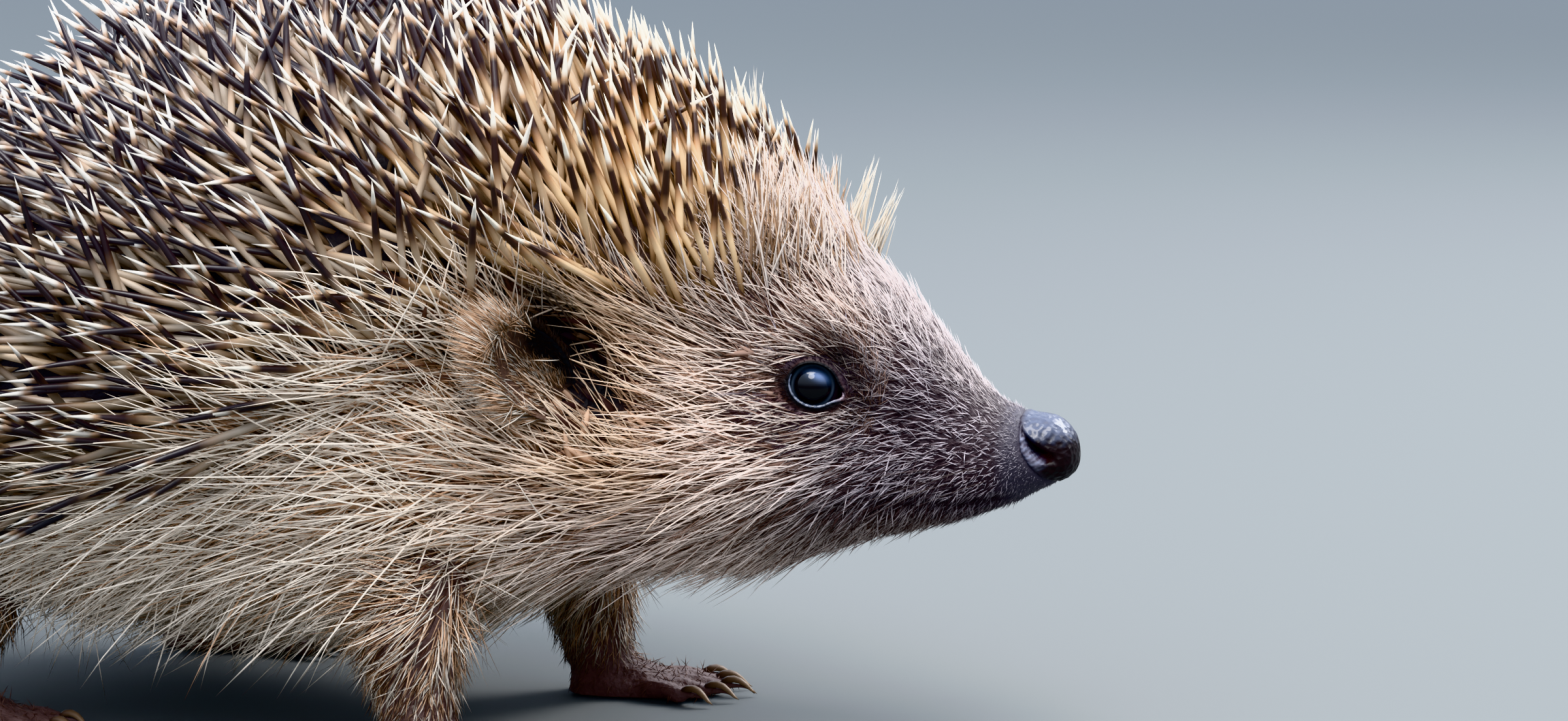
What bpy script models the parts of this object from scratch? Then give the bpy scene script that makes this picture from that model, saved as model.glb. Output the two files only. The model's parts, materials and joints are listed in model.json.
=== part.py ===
"""A young European hedgehog, life size, crouching on four feet, its head turned a little to its left.

Everything is first laid out along the spine: "s" is the distance in millimetres behind the nose tip,
"y" the distance to the animal's left and "z" the height above the floor. bent() carries such a point
into the model's own frame, in metres: +X towards the head, +Y to the animal's left, +Z up, with the
origin on the floor under the middle of the animal. The solids reach out to the tips of the fur and spines.
"""

import math

import bmesh
import bpy
from mathutils import Matrix, Vector

MM = 0.001
GAP = 0.3  # between neighbouring pieces
STAGGER = 0.13

# Overall plan, in millimetres behind the nose tip
LENGTH = 160.0
NECK_TURN = math.radians(13.0)
TURN_FRONT, TURN_REAR = 50.0, 78.0
MIDDLE_S = 80.8  # the station over the origin

# Where the body is parted
NOSE_END = 6.6
HEAD_END = 61.0
NECK_END = 73.0
BODY_END = 157.0
CROWN_FRONT, CROWN_END = 26.0, 61.0

# Sections of the furred body: distance behind the nose tip, half width, top, bottom,
# height of the widest line
BODY = (
    (0.0, 0.3, 35.4, 34.0, 34.7),
    (0.5, 2.3, 36.9, 33.0, 34.9),
    (1.5, 3.5, 38.2, 32.1, 35.1),
    (3.0, 4.2, 39.2, 31.5, 35.3),
    (6.0, 5.1, 39.6, 30.0, 35.0),
    (10.0, 7.2, 41.8, 27.8, 34.8),
    (14.0, 9.4, 46.3, 26.2, 35.0),
    (19.0, 12.2, 52.2, 24.7, 35.4),
    (26.0, 15.6, 58.6, 22.7, 36.4),
    (34.0, 19.0, 63.0, 19.6, 37.0),
    (45.0, 22.6, 67.0, 18.4, 37.0),
    (56.0, 25.6, 70.5, 16.6, 37.0),
    (66.0, 31.0, 74.0, 13.4, 37.0),
    (80.0, 38.5, 77.0, 10.0, 37.0),
    (96.0, 43.5, 77.5, 8.6, 37.0),
    (112.0, 43.5, 74.5, 9.0, 36.5),
    (126.0, 39.5, 67.0, 11.0, 35.0),
    (140.0, 30.5, 54.0, 14.5, 32.0),
    (150.0, 20.0, 42.0, 19.0, 29.5),
    (155.0, 11.5, 34.0, 22.5, 28.0),
    (157.0, 1.0, 29.0, 27.0, 28.0),
)
BODY_SQUARENESS = 2.0

# Sections of the spiny mantle, measured to the tips of the spines, in the same columns
MANTLE = (
    (26.0, 10.0, 60.5, 40.0, 50.0),
    (28.5, 15.0, 63.5, 38.0, 50.0),
    (32.0, 20.5, 68.0, 36.0, 49.0),
    (37.0, 25.5, 72.5, 32.0, 48.0),
    (44.0, 30.0, 77.0, 26.0, 47.0),
    (54.0, 35.5, 82.5, 20.0, 45.0),
    (66.0, 43.0, 88.0, 14.0, 42.0),
    (80.0, 50.0, 91.0, 8.0, 40.0),
    (94.0, 54.0, 91.5, 4.0, 38.0),
    (110.0, 54.5, 88.0, 4.0, 36.0),
    (124.0, 51.0, 79.5, 6.0, 34.0),
    (138.0, 42.5, 66.0, 8.0, 31.0),
    (149.0, 30.5, 52.0, 10.0, 28.0),
    (156.0, 18.5, 39.0, 14.0, 26.0),
    (159.0, 9.5, 31.0, 18.0, 25.0),
    (160.0, 1.0, 26.0, 23.5, 25.0),
)
MANTLE_SQUARENESS = 2.05

# Lower edge of the mantle: distance behind the nose tip, height
SKIRT = (
    (26.0, 57.0),
    (34.0, 57.5),
    (48.0, 57.0),
    (58.0, 54.5),
    (66.0, 47.5),
    (76.0, 37.5),
    (86.0, 31.5),
    (100.0, 26.0),
    (120.0, 22.5),
    (140.0, 20.5),
    (160.0, 20.0),
)

# Nostrils
NOSTRIL_S, NOSTRIL_SIDE, NOSTRIL_HEIGHT, NOSTRIL_RADIUS = 2.4, 4.3, 35.6, 1.25

# Mouth: the lower jaw lies under this line
MOUTH = ((7.0, 30.4), (12.0, 30.0), (20.0, 30.6), (30.0, 30.0), (33.0, 26.0), (36.0, 14.0))
JAW_FRONT = 9.6

# Eyes
EYE_S, EYE_SIDE, EYE_HEIGHT, EYE_RADIUS = 27.8, 11.9, 43.0, 3.2
EYE_OUTWARD = Vector((0.30, 0.94, 0.16)).normalized()  # forward, sideways, up
ORBIT_RADIUS, ORBIT_STANDS_OFF = 6.2, 6.9

# Ears: cupped leaves lying back against the neck
EAR_S, EAR_SIDE, EAR_HEIGHT = 53.5, 22.2, 42.4  # the middle of its root
EAR_LENGTH, EAR_HALF_WIDTH, EAR_CUP, EAR_THICKNESS = 11.6, 5.5, 1.8, 1.3
EAR_ROOT_SHARE = 0.22  # of the half width
EAR_UP = Vector((-0.40, 0.55, 0.70)).normalized()  # forward, sideways, up
EAR_FACING = Vector((0.80, 0.60, 0.0)).normalized()
EAR_ROWS, EAR_COLUMNS = 7, 8

# Legs: distance behind the nose tip and sideways, at the hip or shoulder and at the wrist or heel
FORE_TOP, FORE_WRIST = (70.0, 21.0), (67.0, 23.5)
HIND_TOP, HIND_WRIST = (124.0, 23.0), (129.0, 26.0)
FORE_RADIUS, HIND_RADIUS, WRIST_RADIUS = 8.2, 10.5, 4.3
LEG_STEPS, LEG_TAPER = 6, 1.3
LEG_TOP_HEIGHT, LEG_FOOT_HEIGHT = 27.0, 4.4

# Feet: half width, length from heel to toe roots, and the reach of the middle toe with its claw
FORE_FOOT = {"half_width": 5.2, "length": 11.0, "toe": 7.6, "claw": 3.6, "splay": math.radians(12)}
HIND_FOOT = {"half_width": 5.0, "length": 16.5, "toe": 7.0, "claw": 3.2, "splay": math.radians(18)}
FOOT_HEIGHT = 6.2
TOE_COUNT, TOE_RADIUS, TOE_SPREAD = 5, 1.55, math.radians(46)
TOE_SHORTENING = 0.22  # of the outer toes
TOE_ROOT_AHEAD, TOE_ROOT_OUT, TOE_ROOT_BACK = 0.74, 0.78, 1.4
SOLE_SINK = 0.9  # how far the pads are pressed flat
FLOOR_SPAN, FLOOR_DEPTH = 400.0, 20.0
PALM_SIDES, TOE_SIDES, LEG_SIDES, TAIL_SIDES = 10, 6, 14, 12

# Sections of the palm: share of its length ahead of the wrist, of its half width and of its height
PALM = (
    (-0.32, 0.50, 0.62),
    (-0.16, 0.86, 0.96),
    (0.15, 1.00, 1.00),
    (0.50, 0.98, 0.72),
    (0.80, 1.00, 0.50),
    (0.96, 0.86, 0.34),
)

# A toe and its claw: share of the toe's reach, share of the claw's length, height, share of its radius
TOE = (
    (0.00, 0.00, 1.500, 1.00),
    (0.45, 0.00, 1.700, 0.85),
    (0.85, 0.00, 0.875, 1.00),
    (1.00, 0.00, 1.325, 0.50),
    (1.00, 0.55, 1.275, 0.36),
    (1.00, 1.00, 0.420, 0.18),
)

# Tail
TAIL_ROOT, TAIL_TIP = (143.0, 17.0), (157.0, 9.5)
TAIL_RADIUS, TAIL_TAPER = 3.6, 0.72
TAIL_STEPS = (0.0, 0.3, 0.6, 0.85, 1.0)

BODY_SIDES, MANTLE_SIDES = 28, 32
FINE_STEP, COARSE_STEP = 0.8, 9.0
STEP_GROWTH = 0.34  # a ring's distance to the next, as a share of that to the nearer end

COLOURS = {
    "fur": ((0.50, 0.39, 0.29), 0.9),
    "muzzle": ((0.30, 0.24, 0.21), 0.85),
    "mantle": ((0.43, 0.34, 0.25), 0.5),
    "nose": ((0.03, 0.025, 0.027), 0.15),
    "eye": ((0.01, 0.01, 0.013), 0.03),
    "skin": ((0.40, 0.29, 0.25), 0.7),
}


# ---------------------------------------------------------------- numbers


def interpolated(rows, column):
    """A smooth function through a column of rows, whose first column rises. It stays between the rows."""
    xs = [row[0] for row in rows]
    ys = [row[column] for row in rows]
    slopes = [(ys[i + 1] - ys[i]) / (xs[i + 1] - xs[i]) for i in range(len(xs) - 1)]
    tangents = [slopes[0]]
    for before, after in zip(slopes, slopes[1:]):
        level = before * after <= 0
        tangents.append(0.0 if level else 2 * before * after / (before + after))
    tangents.append(slopes[-1])

    def value(x):
        x = min(max(x, xs[0]), xs[-1])
        i = max(k for k in range(len(xs) - 1) if xs[k] <= x)
        width = xs[i + 1] - xs[i]
        t = (x - xs[i]) / width
        start = (1 + 2 * t) * (1 - t) ** 2 * ys[i] + t * (1 - t) ** 2 * width * tangents[i]
        end = t * t * (3 - 2 * t) * ys[i + 1] + t * t * (t - 1) * width * tangents[i + 1]
        return start + end

    return value


def spine_at(s):
    """The spine's place (x, y) in millimetres and its heading, s behind the nose tip."""
    radius = (TURN_REAR - TURN_FRONT) / NECK_TURN
    along = min(max(TURN_REAR - s, 0.0), TURN_REAR - TURN_FRONT)
    heading = along / radius
    straight_behind = MIDDLE_S - max(s, TURN_REAR)
    straight_ahead = max(TURN_FRONT - s, 0.0)
    x = straight_behind + radius * math.sin(heading) + straight_ahead * math.cos(heading)
    y = radius * (1 - math.cos(heading)) + straight_ahead * math.sin(heading)
    return x, y, heading


def bent(s, y, z):
    """The model point, in metres, of a place laid out along the spine."""
    x0, y0, heading = spine_at(s)
    return Vector((x0 - y * math.sin(heading), y0 + y * math.cos(heading), z)) * MM


def turned(direction, s):
    """A direction given as (forward, left, up) at station s, in the model's frame."""
    return Matrix.Rotation(spine_at(s)[2], 3, "Z") @ Vector(direction)


# ---------------------------------------------------------------- meshes


def material(name):
    made = bpy.data.materials.get(name)
    if made is None:
        made = bpy.data.materials.new(name)
        made.use_nodes = True
        shader = made.node_tree.nodes["Principled BSDF"]
        colour, roughness = COLOURS[name]
        shader.inputs["Base Color"].default_value = (*colour, 1.0)
        shader.inputs["Roughness"].default_value = roughness
        made.diffuse_color = (*colour, 1.0)
    return made


def add_object(name, bm, colour=None):
    """An object made from bm. With no colour it is a helper, which is left out of the model."""
    bmesh.ops.triangulate(bm, faces=bm.faces)
    bmesh.ops.recalc_face_normals(bm, faces=bm.faces)
    mesh = bpy.data.meshes.new(name)
    bm.to_mesh(mesh)
    bm.free()
    mesh.shade_smooth()
    made = bpy.data.objects.new(name, mesh)
    bpy.context.scene.collection.objects.link(made)
    if colour:
        mesh.materials.append(material(colour))
    else:
        made.hide_render = True
        made.display_type = "WIRE"
    return made


def loft(bm, rings):
    """Closed skin over rings of points, with a flat face at each end."""
    rows = [[bm.verts.new(point) for point in ring] for ring in rings]
    count = len(rows[0])
    for near, far in zip(rows, rows[1:]):
        for i in range(count):
            j = (i + 1) % count
            bm.faces.new((near[i], near[j], far[j], far[i]))
    bm.faces.new(rows[0])
    bm.faces.new(rows[-1])


def all_stations():
    """Distances behind the nose tip at which every body has a ring, closest near the nose and the tail."""
    cuts = {0.0, NOSE_END, JAW_FRONT, CROWN_FRONT, HEAD_END, NECK_END, BODY_END, LENGTH}
    cuts |= {NOSE_END + GAP, HEAD_END + GAP, NECK_END + GAP}
    cuts = sorted(cuts)
    found = []
    for start, end in zip(cuts, cuts[1:]):
        steps = []
        while sum(steps) < end - start:
            s = start + sum(steps)
            steps.append(min(COARSE_STEP, max(FINE_STEP, STEP_GROWTH * min(s, LENGTH - s))))
        shrink = (end - start) / sum(steps)
        found += [start + shrink * sum(steps[:i]) for i in range(len(steps))]
    return [*found, LENGTH]


def stations(start, end):
    """The shared stations from start to end, with both of these."""
    inside = [s for s in all_stations() if start + 1e-6 < s < end - 1e-6]
    return [start, *inside, end]


def section(rows, sides, squareness, grow=0.0):
    """A function of s that gives one ring of a body laid out by rows, grown by so many millimetres."""
    half_width, top, bottom, widest = (interpolated(rows, column) for column in (1, 2, 3, 4))
    power = 2.0 / squareness

    def ring(s):
        points = []
        for i in range(sides):
            angle = 2 * math.pi * (i + 0.5) / sides
            c, d = math.cos(angle), math.sin(angle)
            reach = (top(s) - widest(s) if d > 0 else widest(s) - bottom(s)) + grow
            y = math.copysign(abs(c) ** power, c) * (half_width(s) + grow)
            z = widest(s) + math.copysign(abs(d) ** power, d) * reach
            points.append(bent(s, y, z))
        return points

    return ring


body_ring = section(BODY, BODY_SIDES, BODY_SQUARENESS)
grown_body_ring = section(BODY, BODY_SIDES, BODY_SQUARENESS, GAP)
mantle_ring = section(MANTLE, MANTLE_SIDES, MANTLE_SQUARENESS)


def body_length(name, start, end, colour=None, ring=body_ring):
    bm = bmesh.new()
    loft(bm, [ring(s) for s in stations(start, end)])
    return add_object(name, bm, colour)


def below(name, line, start, end, drop=0.0):
    """A helper that fills everything under a line given as (s, height) rows, between two stations.

    Its rings are staggered, so that its edges never lie along those of the bodies that it cuts.
    """
    height = interpolated(line, 1)
    side, floor = 70.0, -20.0
    first, *inner, last = stations(start, end)
    bm = bmesh.new()
    rings = []
    for s in [first, *(s + STAGGER for s in inner if s + STAGGER < last), last]:
        z = height(s) - drop
        rings.append([bent(s, -side, floor), bent(s, side, floor), bent(s, side, z), bent(s, -side, z)])
    loft(bm, rings)
    return add_object(name, bm)


def ball(name, centre, radius, colour=None, segments=16, rings=10):
    bm = bmesh.new()
    place = Matrix.Translation(centre)
    bmesh.ops.create_uvsphere(bm, u_segments=segments, v_segments=rings, radius=radius * MM, matrix=place)
    return add_object(name, bm, colour)


def cut(target, cutter, operation="DIFFERENCE"):
    step = target.modifiers.new(cutter.name, "BOOLEAN")
    step.operation = operation
    step.solver = "EXACT"
    step.object = cutter


# ---------------------------------------------------------------- head


def eye_centre(side):
    return bent(EYE_S, side * EYE_SIDE, EYE_HEIGHT)


def eye_outward(side):
    return turned((EYE_OUTWARD.x, side * EYE_OUTWARD.y, EYE_OUTWARD.z), EYE_S)


def build_head(sides):
    nose = body_length("nose", 0.0, NOSE_END, "nose")
    head = body_length("head", NOSE_END + GAP, HEAD_END, "fur")
    jaw = body_length("lower_jaw", JAW_FRONT, MOUTH[-1][0], "muzzle")
    under_mouth = below("under_mouth", MOUTH, JAW_FRONT - 1, MOUTH[-1][0] + 1, GAP)
    with_gap = below("under_mouth_with_gap", MOUTH, JAW_FRONT - GAP, MOUTH[-1][0] + 1)
    cut(jaw, under_mouth, "INTERSECT")
    cut(head, with_gap)
    for label, side in sides:
        nostril_centre = bent(NOSTRIL_S, side * NOSTRIL_SIDE, NOSTRIL_HEIGHT)
        cut(nose, ball(f"nostril_{label}", nostril_centre, NOSTRIL_RADIUS, segments=10, rings=6))
        centre = eye_centre(side)
        ball(f"eye_{label}", centre, EYE_RADIUS, "eye")
        socket = ball(f"socket_{label}", centre, EYE_RADIUS + GAP)
        orbit_centre = centre + eye_outward(side) * ORBIT_STANDS_OFF * MM
        orbit = ball(f"orbit_{label}", orbit_centre, ORBIT_RADIUS, segments=20, rings=14)
        cut(head, orbit)
        cut(head, socket)


def build_ear(label, side, whole_body):
    """A leaf of a round outline, cupped across, grown out of the side of the head."""
    up = turned((EAR_UP.x, side * EAR_UP.y, EAR_UP.z), EAR_S)
    facing = turned((EAR_FACING.x, side * EAR_FACING.y, EAR_FACING.z), EAR_S)
    facing = (facing - up * facing.dot(up)).normalized()
    across = up.cross(facing)
    base = bent(EAR_S, side * EAR_SIDE, EAR_HEIGHT)
    bm = bmesh.new()
    rows = []
    for i in range(EAR_ROWS + 1):
        t = i / EAR_ROWS
        half = EAR_HALF_WIDTH * max(EAR_ROOT_SHARE, math.sqrt(max(0.0, 1 - (1.75 * t - 0.75) ** 2)))
        row = []
        for j in range(EAR_COLUMNS + 1):
            u = 2 * j / EAR_COLUMNS - 1
            cupped = EAR_CUP * (u * u - 1) * math.sin(math.pi * min(1.0, 0.25 + 0.7 * t))
            offset = up * EAR_LENGTH * t + across * half * u + facing * cupped
            row.append(bm.verts.new(base + offset * MM))
        rows.append(row)
    for near, far in zip(rows, rows[1:]):
        for j in range(EAR_COLUMNS):
            bm.faces.new((near[j], near[j + 1], far[j + 1], far[j]))
    ear = add_object(f"ear_{label}", bm, "skin")
    thicken = ear.modifiers.new("thickness", "SOLIDIFY")
    thicken.thickness = EAR_THICKNESS * MM
    thicken.offset = 0.0
    cut(ear, whole_body)


# ---------------------------------------------------------------- trunk and mantle


def build_trunk():
    body_length("neck", HEAD_END + GAP, NECK_END, "fur")
    body_length("trunk", NECK_END + GAP, BODY_END, "fur")


def build_mantle(whole_body):
    under_skirt = below("under_skirt", SKIRT, CROWN_FRONT - 2, LENGTH + 2)
    crown = body_length("crown", CROWN_FRONT, CROWN_END, "mantle", mantle_ring)
    back = body_length("back", CROWN_END + GAP, LENGTH, "mantle", mantle_ring)
    for piece in (crown, back):
        cut(piece, under_skirt)
        cut(piece, whole_body)


def build_tail(whole_body):
    root, tip = bent(TAIL_ROOT[0], 0, TAIL_ROOT[1]), bent(TAIL_TIP[0], 0, TAIL_TIP[1])
    along = (tip - root).normalized()
    left = Vector((0, 1, 0))
    up = along.cross(left)
    angles = [2 * math.pi * i / TAIL_SIDES for i in range(TAIL_SIDES)]
    rings = []
    for t in TAIL_STEPS:
        radius = TAIL_RADIUS * (1 - TAIL_TAPER * t * t)
        centre = root.lerp(tip, t)
        rings.append([centre + (up * math.cos(a) + left * math.sin(a)) * radius * MM for a in angles])
    bm = bmesh.new()
    loft(bm, rings)
    cut(add_object("tail", bm, "fur"), whole_body)


# ---------------------------------------------------------------- legs and feet


def tube(bm, centres, radii, sides):
    """A closed tube through centres, with rings square to its path."""
    rings = []
    for i, (centre, radius) in enumerate(zip(centres, radii)):
        ahead = centres[min(i + 1, len(centres) - 1)] - centres[max(i - 1, 0)]
        side = ahead.cross(Vector((0, 0, 1)))
        if side.length < 1e-9:
            side = Vector((0, 1, 0))
        side.normalize()
        up = side.cross(ahead).normalized()
        angles = [2 * math.pi * k / sides for k in range(sides)]
        rings.append([centre + (side * math.cos(a) + up * math.sin(a)) * radius * MM for a in angles])
    loft(bm, rings)


def build_leg(name, top, wrist, side, radius, whole_body):
    """A tapering leg from inside the body down to the foot, cut off where it leaves the body's fur."""
    start = bent(top[0], side * top[1], LEG_TOP_HEIGHT)
    end = bent(wrist[0], side * wrist[1], LEG_FOOT_HEIGHT)
    centres, radii = [], []
    for i in range(LEG_STEPS + 1):
        t = i / LEG_STEPS
        centres.append(start.lerp(end, t))
        radii.append(WRIST_RADIUS + (radius - WRIST_RADIUS) * (1 - t) ** LEG_TAPER)
    bm = bmesh.new()
    tube(bm, centres, radii, LEG_SIDES)
    leg = add_object(name, bm, "fur")
    cut(leg, whole_body)
    return leg


def foot_frame(wrist, side, foot):
    """A matrix whose +X runs to the toes, from the wrist or heel's place on the floor."""
    heading = spine_at(wrist[0])[2] + side * foot["splay"]
    return Matrix.Translation(bent(wrist[0], side * wrist[1], 0)) @ Matrix.Rotation(heading, 4, "Z")


def palm(name, frame, foot, grow=0.0, colour=None):
    """The foot without its toes: a low rounded wedge, highest over the wrist or heel."""
    half, length = foot["half_width"] + grow, foot["length"]
    rings = []
    for t, share, height in PALM:
        centre = Vector((t * length, 0, 0))
        tall = FOOT_HEIGHT * height + grow
        ring = []
        for i in range(PALM_SIDES):
            angle = 2 * math.pi * (i + 0.5) / PALM_SIDES
            down = SOLE_SINK + grow
            z = math.sin(angle) * (tall if math.sin(angle) > 0 else down)
            ring.append(frame @ ((centre + Vector((0, math.cos(angle) * half * share, z))) * MM))
        rings.append(ring)
    bm = bmesh.new()
    loft(bm, rings)
    return add_object(name, bm, colour)


def toe(name, frame, foot, place):
    """One toe with its claw: place runs from -1, the outer one, to 1. It bends down to the floor."""
    turn = place * TOE_SPREAD / 2
    reach = foot["toe"] * (1 - TOE_SHORTENING * abs(place))
    root_ahead = foot["length"] * TOE_ROOT_AHEAD - TOE_ROOT_BACK * place * place
    root = Vector((root_ahead, place * foot["half_width"] * TOE_ROOT_OUT, 0))
    ahead = Vector((math.cos(turn), math.sin(turn), 0))
    centres, radii = [], []
    for toe_share, claw_share, height, share in TOE:
        centre = frame @ ((root + ahead * (reach * toe_share + foot["claw"] * claw_share)) * MM)
        centre.z = height * MM
        centres.append(centre)
        radii.append(TOE_RADIUS * share)
    bm = bmesh.new()
    tube(bm, centres, radii, TOE_SIDES)
    return add_object(name, bm)


def build_foot(name, wrist, side, foot, floor):
    """Palm, toes and claws in one piece, pressed flat against the floor."""
    frame = foot_frame(wrist, side, foot)
    made = palm(name, frame, foot, colour="skin")
    for i in range(TOE_COUNT):
        cut(made, toe(f"{name}_toe_{i}", frame, foot, 2 * i / (TOE_COUNT - 1) - 1), "UNION")
    cut(made, floor)
    return palm(f"{name}_room", frame, foot, GAP)


def build_legs(sides, whole_body):
    floor_place = Matrix.Translation((0, 0, -FLOOR_DEPTH / 2 * MM))
    floor_size = Matrix.Diagonal((FLOOR_SPAN * MM, FLOOR_SPAN * MM, FLOOR_DEPTH * MM, 1))
    bm = bmesh.new()
    bmesh.ops.create_cube(bm, size=1.0, matrix=floor_place @ floor_size)
    floor = add_object("floor_level", bm)
    for label, side in sides:
        for end, top, wrist, radius, foot in (
            ("fore", FORE_TOP, FORE_WRIST, FORE_RADIUS, FORE_FOOT),
            ("hind", HIND_TOP, HIND_WRIST, HIND_RADIUS, HIND_FOOT),
        ):
            leg = build_leg(f"{end}leg_{label}", top, wrist, side, radius, whole_body)
            cut(leg, build_foot(f"{end}foot_{label}", wrist, side, foot, floor))


# ---------------------------------------------------------------- the animal


def main():
    for old in list(bpy.data.objects):
        bpy.data.objects.remove(old)
    sides = (("left", 1), ("right", -1))
    whole_body = body_length("whole_body", 0.0, BODY_END, ring=grown_body_ring)
    build_head(sides)
    for label, side in sides:
        build_ear(label, side, whole_body)
    build_trunk()
    build_mantle(whole_body)
    build_tail(whole_body)
    build_legs(sides, whole_body)


main()
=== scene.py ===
"""Looks of a life-size hedgehog on four feet: one skin, thousands of spines, fur, eyes, nose, ears and claws.

As in the solids, a place is laid out along the spine: "s" is the distance in millimetres behind the nose tip,
"y" the distance to the animal's left and "z" the height above the floor. bent() carries it into the frame.
The outline of the coat is measured on the frame's solids, and the skin lies inside it by the coat's depth.
All lengths are in millimetres until a mesh is made. A row of pairs (s, value) is read by along_steps().
"""

import json
import math

import bpy
import numpy as np
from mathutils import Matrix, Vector
from mathutils.bvhtree import BVHTree

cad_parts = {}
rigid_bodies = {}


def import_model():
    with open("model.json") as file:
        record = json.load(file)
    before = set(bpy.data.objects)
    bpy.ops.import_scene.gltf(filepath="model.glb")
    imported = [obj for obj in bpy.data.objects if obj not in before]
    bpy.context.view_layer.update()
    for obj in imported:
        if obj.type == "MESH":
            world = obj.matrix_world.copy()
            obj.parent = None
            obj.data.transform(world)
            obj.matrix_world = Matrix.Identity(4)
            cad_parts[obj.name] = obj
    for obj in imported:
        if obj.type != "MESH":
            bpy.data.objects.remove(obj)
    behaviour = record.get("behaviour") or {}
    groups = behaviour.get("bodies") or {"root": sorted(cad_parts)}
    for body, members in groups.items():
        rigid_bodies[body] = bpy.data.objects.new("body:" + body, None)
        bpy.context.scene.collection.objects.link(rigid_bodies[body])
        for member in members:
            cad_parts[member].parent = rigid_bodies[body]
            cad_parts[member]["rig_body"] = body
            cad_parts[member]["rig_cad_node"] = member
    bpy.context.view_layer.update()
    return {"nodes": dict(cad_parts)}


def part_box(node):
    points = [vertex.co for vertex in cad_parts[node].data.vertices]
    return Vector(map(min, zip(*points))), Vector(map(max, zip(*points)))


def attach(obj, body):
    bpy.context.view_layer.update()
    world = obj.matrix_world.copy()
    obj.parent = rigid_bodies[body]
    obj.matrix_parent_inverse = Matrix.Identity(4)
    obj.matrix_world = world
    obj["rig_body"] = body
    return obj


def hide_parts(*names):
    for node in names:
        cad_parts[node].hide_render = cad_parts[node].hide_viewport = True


MM = 0.001
SIDES = (("left", 1), ("right", -1))
FLOOR_GAP = 0.15  # nothing of the coat comes nearer to the floor

# The plan of the solids
LENGTH = 160.0
NECK_TURN = math.radians(13.0)
TURN_FRONT, TURN_REAR = 50.0, 78.0
MIDDLE_S = 80.8
MIDDLE_HEIGHT = ((0, 34.8), (6, 35.2), (20, 37), (60, 42), (100, 43), (140, 33), (157, 28))
SKIN_END = 156.6

# Nodes that the skin stands for, and those that hold the spines
HEAD_NODES = ("head", "lower_jaw", "nose")
TRUNK_NODES = ("neck", "trunk")
MANTLE_NODES = ("crown", "back")

# The skin's grid: columns round it, steps along it, and from how far the rays are sent in
AROUND = 184
GRID_STEPS = ((0, 0.16), (3, 0.3), (40, 0.36), (62, 0.8), (80, 1.3), (146, 1.2), (156, 0.4))
FAR = 90.0

# Eyes
EYE_S = 27.8
EYE_OUTWARD = (0.30, 0.94, 0.16)  # forward, sideways, up
EYE_CLEARING = 8.2  # the eyeball's own bulge is left out of the outline
LID_THICKNESS = 0.4
OPENING_LONG, OPENING_HIGH = 2.78, 2.42
CORNER = 0.36  # how far the opening's front corner is drawn out, as a share
OPENING_TILT = math.radians(-18)
PATCH_RADIUS = 9.0

# How far back the nose's bare pad reaches, by the sine of the angle round the snout: least on the underside
PAD_REAR = ((-1.0, 2.9), (-0.6, 4.4), (0.1, 6.3), (0.9, 6.9))
NOSTRIL_S, NOSTRIL_HEIGHT, NOSTRIL_HALF_LENGTH = 4.5, 36.0, 2.6
SOLID_NOSTRIL, SOLID_NOSTRIL_SIZE = (2.4, 4.3, 35.6), 2.2  # station, side and height of the solid's own
# Waves whose sum is the nose's grain: round the snout, along it, start
NOSE_GRAIN = ((6.9, 1.1, 0.3), (-3.4, 5.6, 1.7), (4.2, 5.2, 4.0), (5.8, -3.9, 2.2), (1.5, -6.3, 5.1))

# Ears, as in the solids
EAR_S, EAR_SIDE, EAR_HEIGHT = 53.5, 22.2, 42.4
EAR_LENGTH, EAR_HALF_WIDTH, EAR_CUP = 11.6, 5.5, 1.8
EAR_UP, EAR_FACING = (-0.40, 0.55, 0.70), (0.80, 0.60, 0.0)
EAR_FUR = 1.4
# The hollow before the ear and the fold that runs from it down the cheek, both darkened by painted shade: station,
# side, height, size, amount
EAR_HOLLOWS = ((53.3, 23.4, 48.6, 3.5, 1.0), (51.5, 23.2, 45.6, 3.0, 0.95), (49.4, 22.8, 42.2, 2.6, 0.8),
               (47.2, 22.4, 38.0, 2.4, 0.4))

# Limbs: the solids are melted on voxels of this size, grown a little so that they meet, then drawn in
MELT_VOXEL, MELT_GROWTH, MELT_SMOOTHINGS = 0.4, 0.25, 8
# Feet, as in the solids
FORE_WRIST, HIND_WRIST = (67.0, 23.5), (129.0, 26.0)
FORE_FOOT = {"half_width": 5.2, "length": 11.0, "toe": 7.6, "claw": 3.6, "splay": math.radians(12)}
HIND_FOOT = {"half_width": 5.0, "length": 16.5, "toe": 7.0, "claw": 3.2, "splay": math.radians(18)}
TOE_COUNT, TOE_SPREAD = 5, math.radians(46)

# How deep the skin lies under the fur, at the snout and then on the sides, on top and below
SNOUT_DEPTH = ((6.6, 0.12), (8.0, 0.4), (12, 0.9), (20, 1.3))
SIDE_DEPTH = (*SNOUT_DEPTH, (28, 1.9), (36, 3.2), (46, 4.4), (60, 5.4), (75, 6.5), (150, 6.0), (157, 3.0))
TOP_DEPTH = (*SNOUT_DEPTH, (26, 2.0), (60, 2.5), (157, 2.5))
LOW_DEPTH = ((6.6, 0.12), (8, 0.5), (15, 1.2), (25, 2.0), (36, 3.0), (50, 4.0), (157, 4.0))

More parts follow.
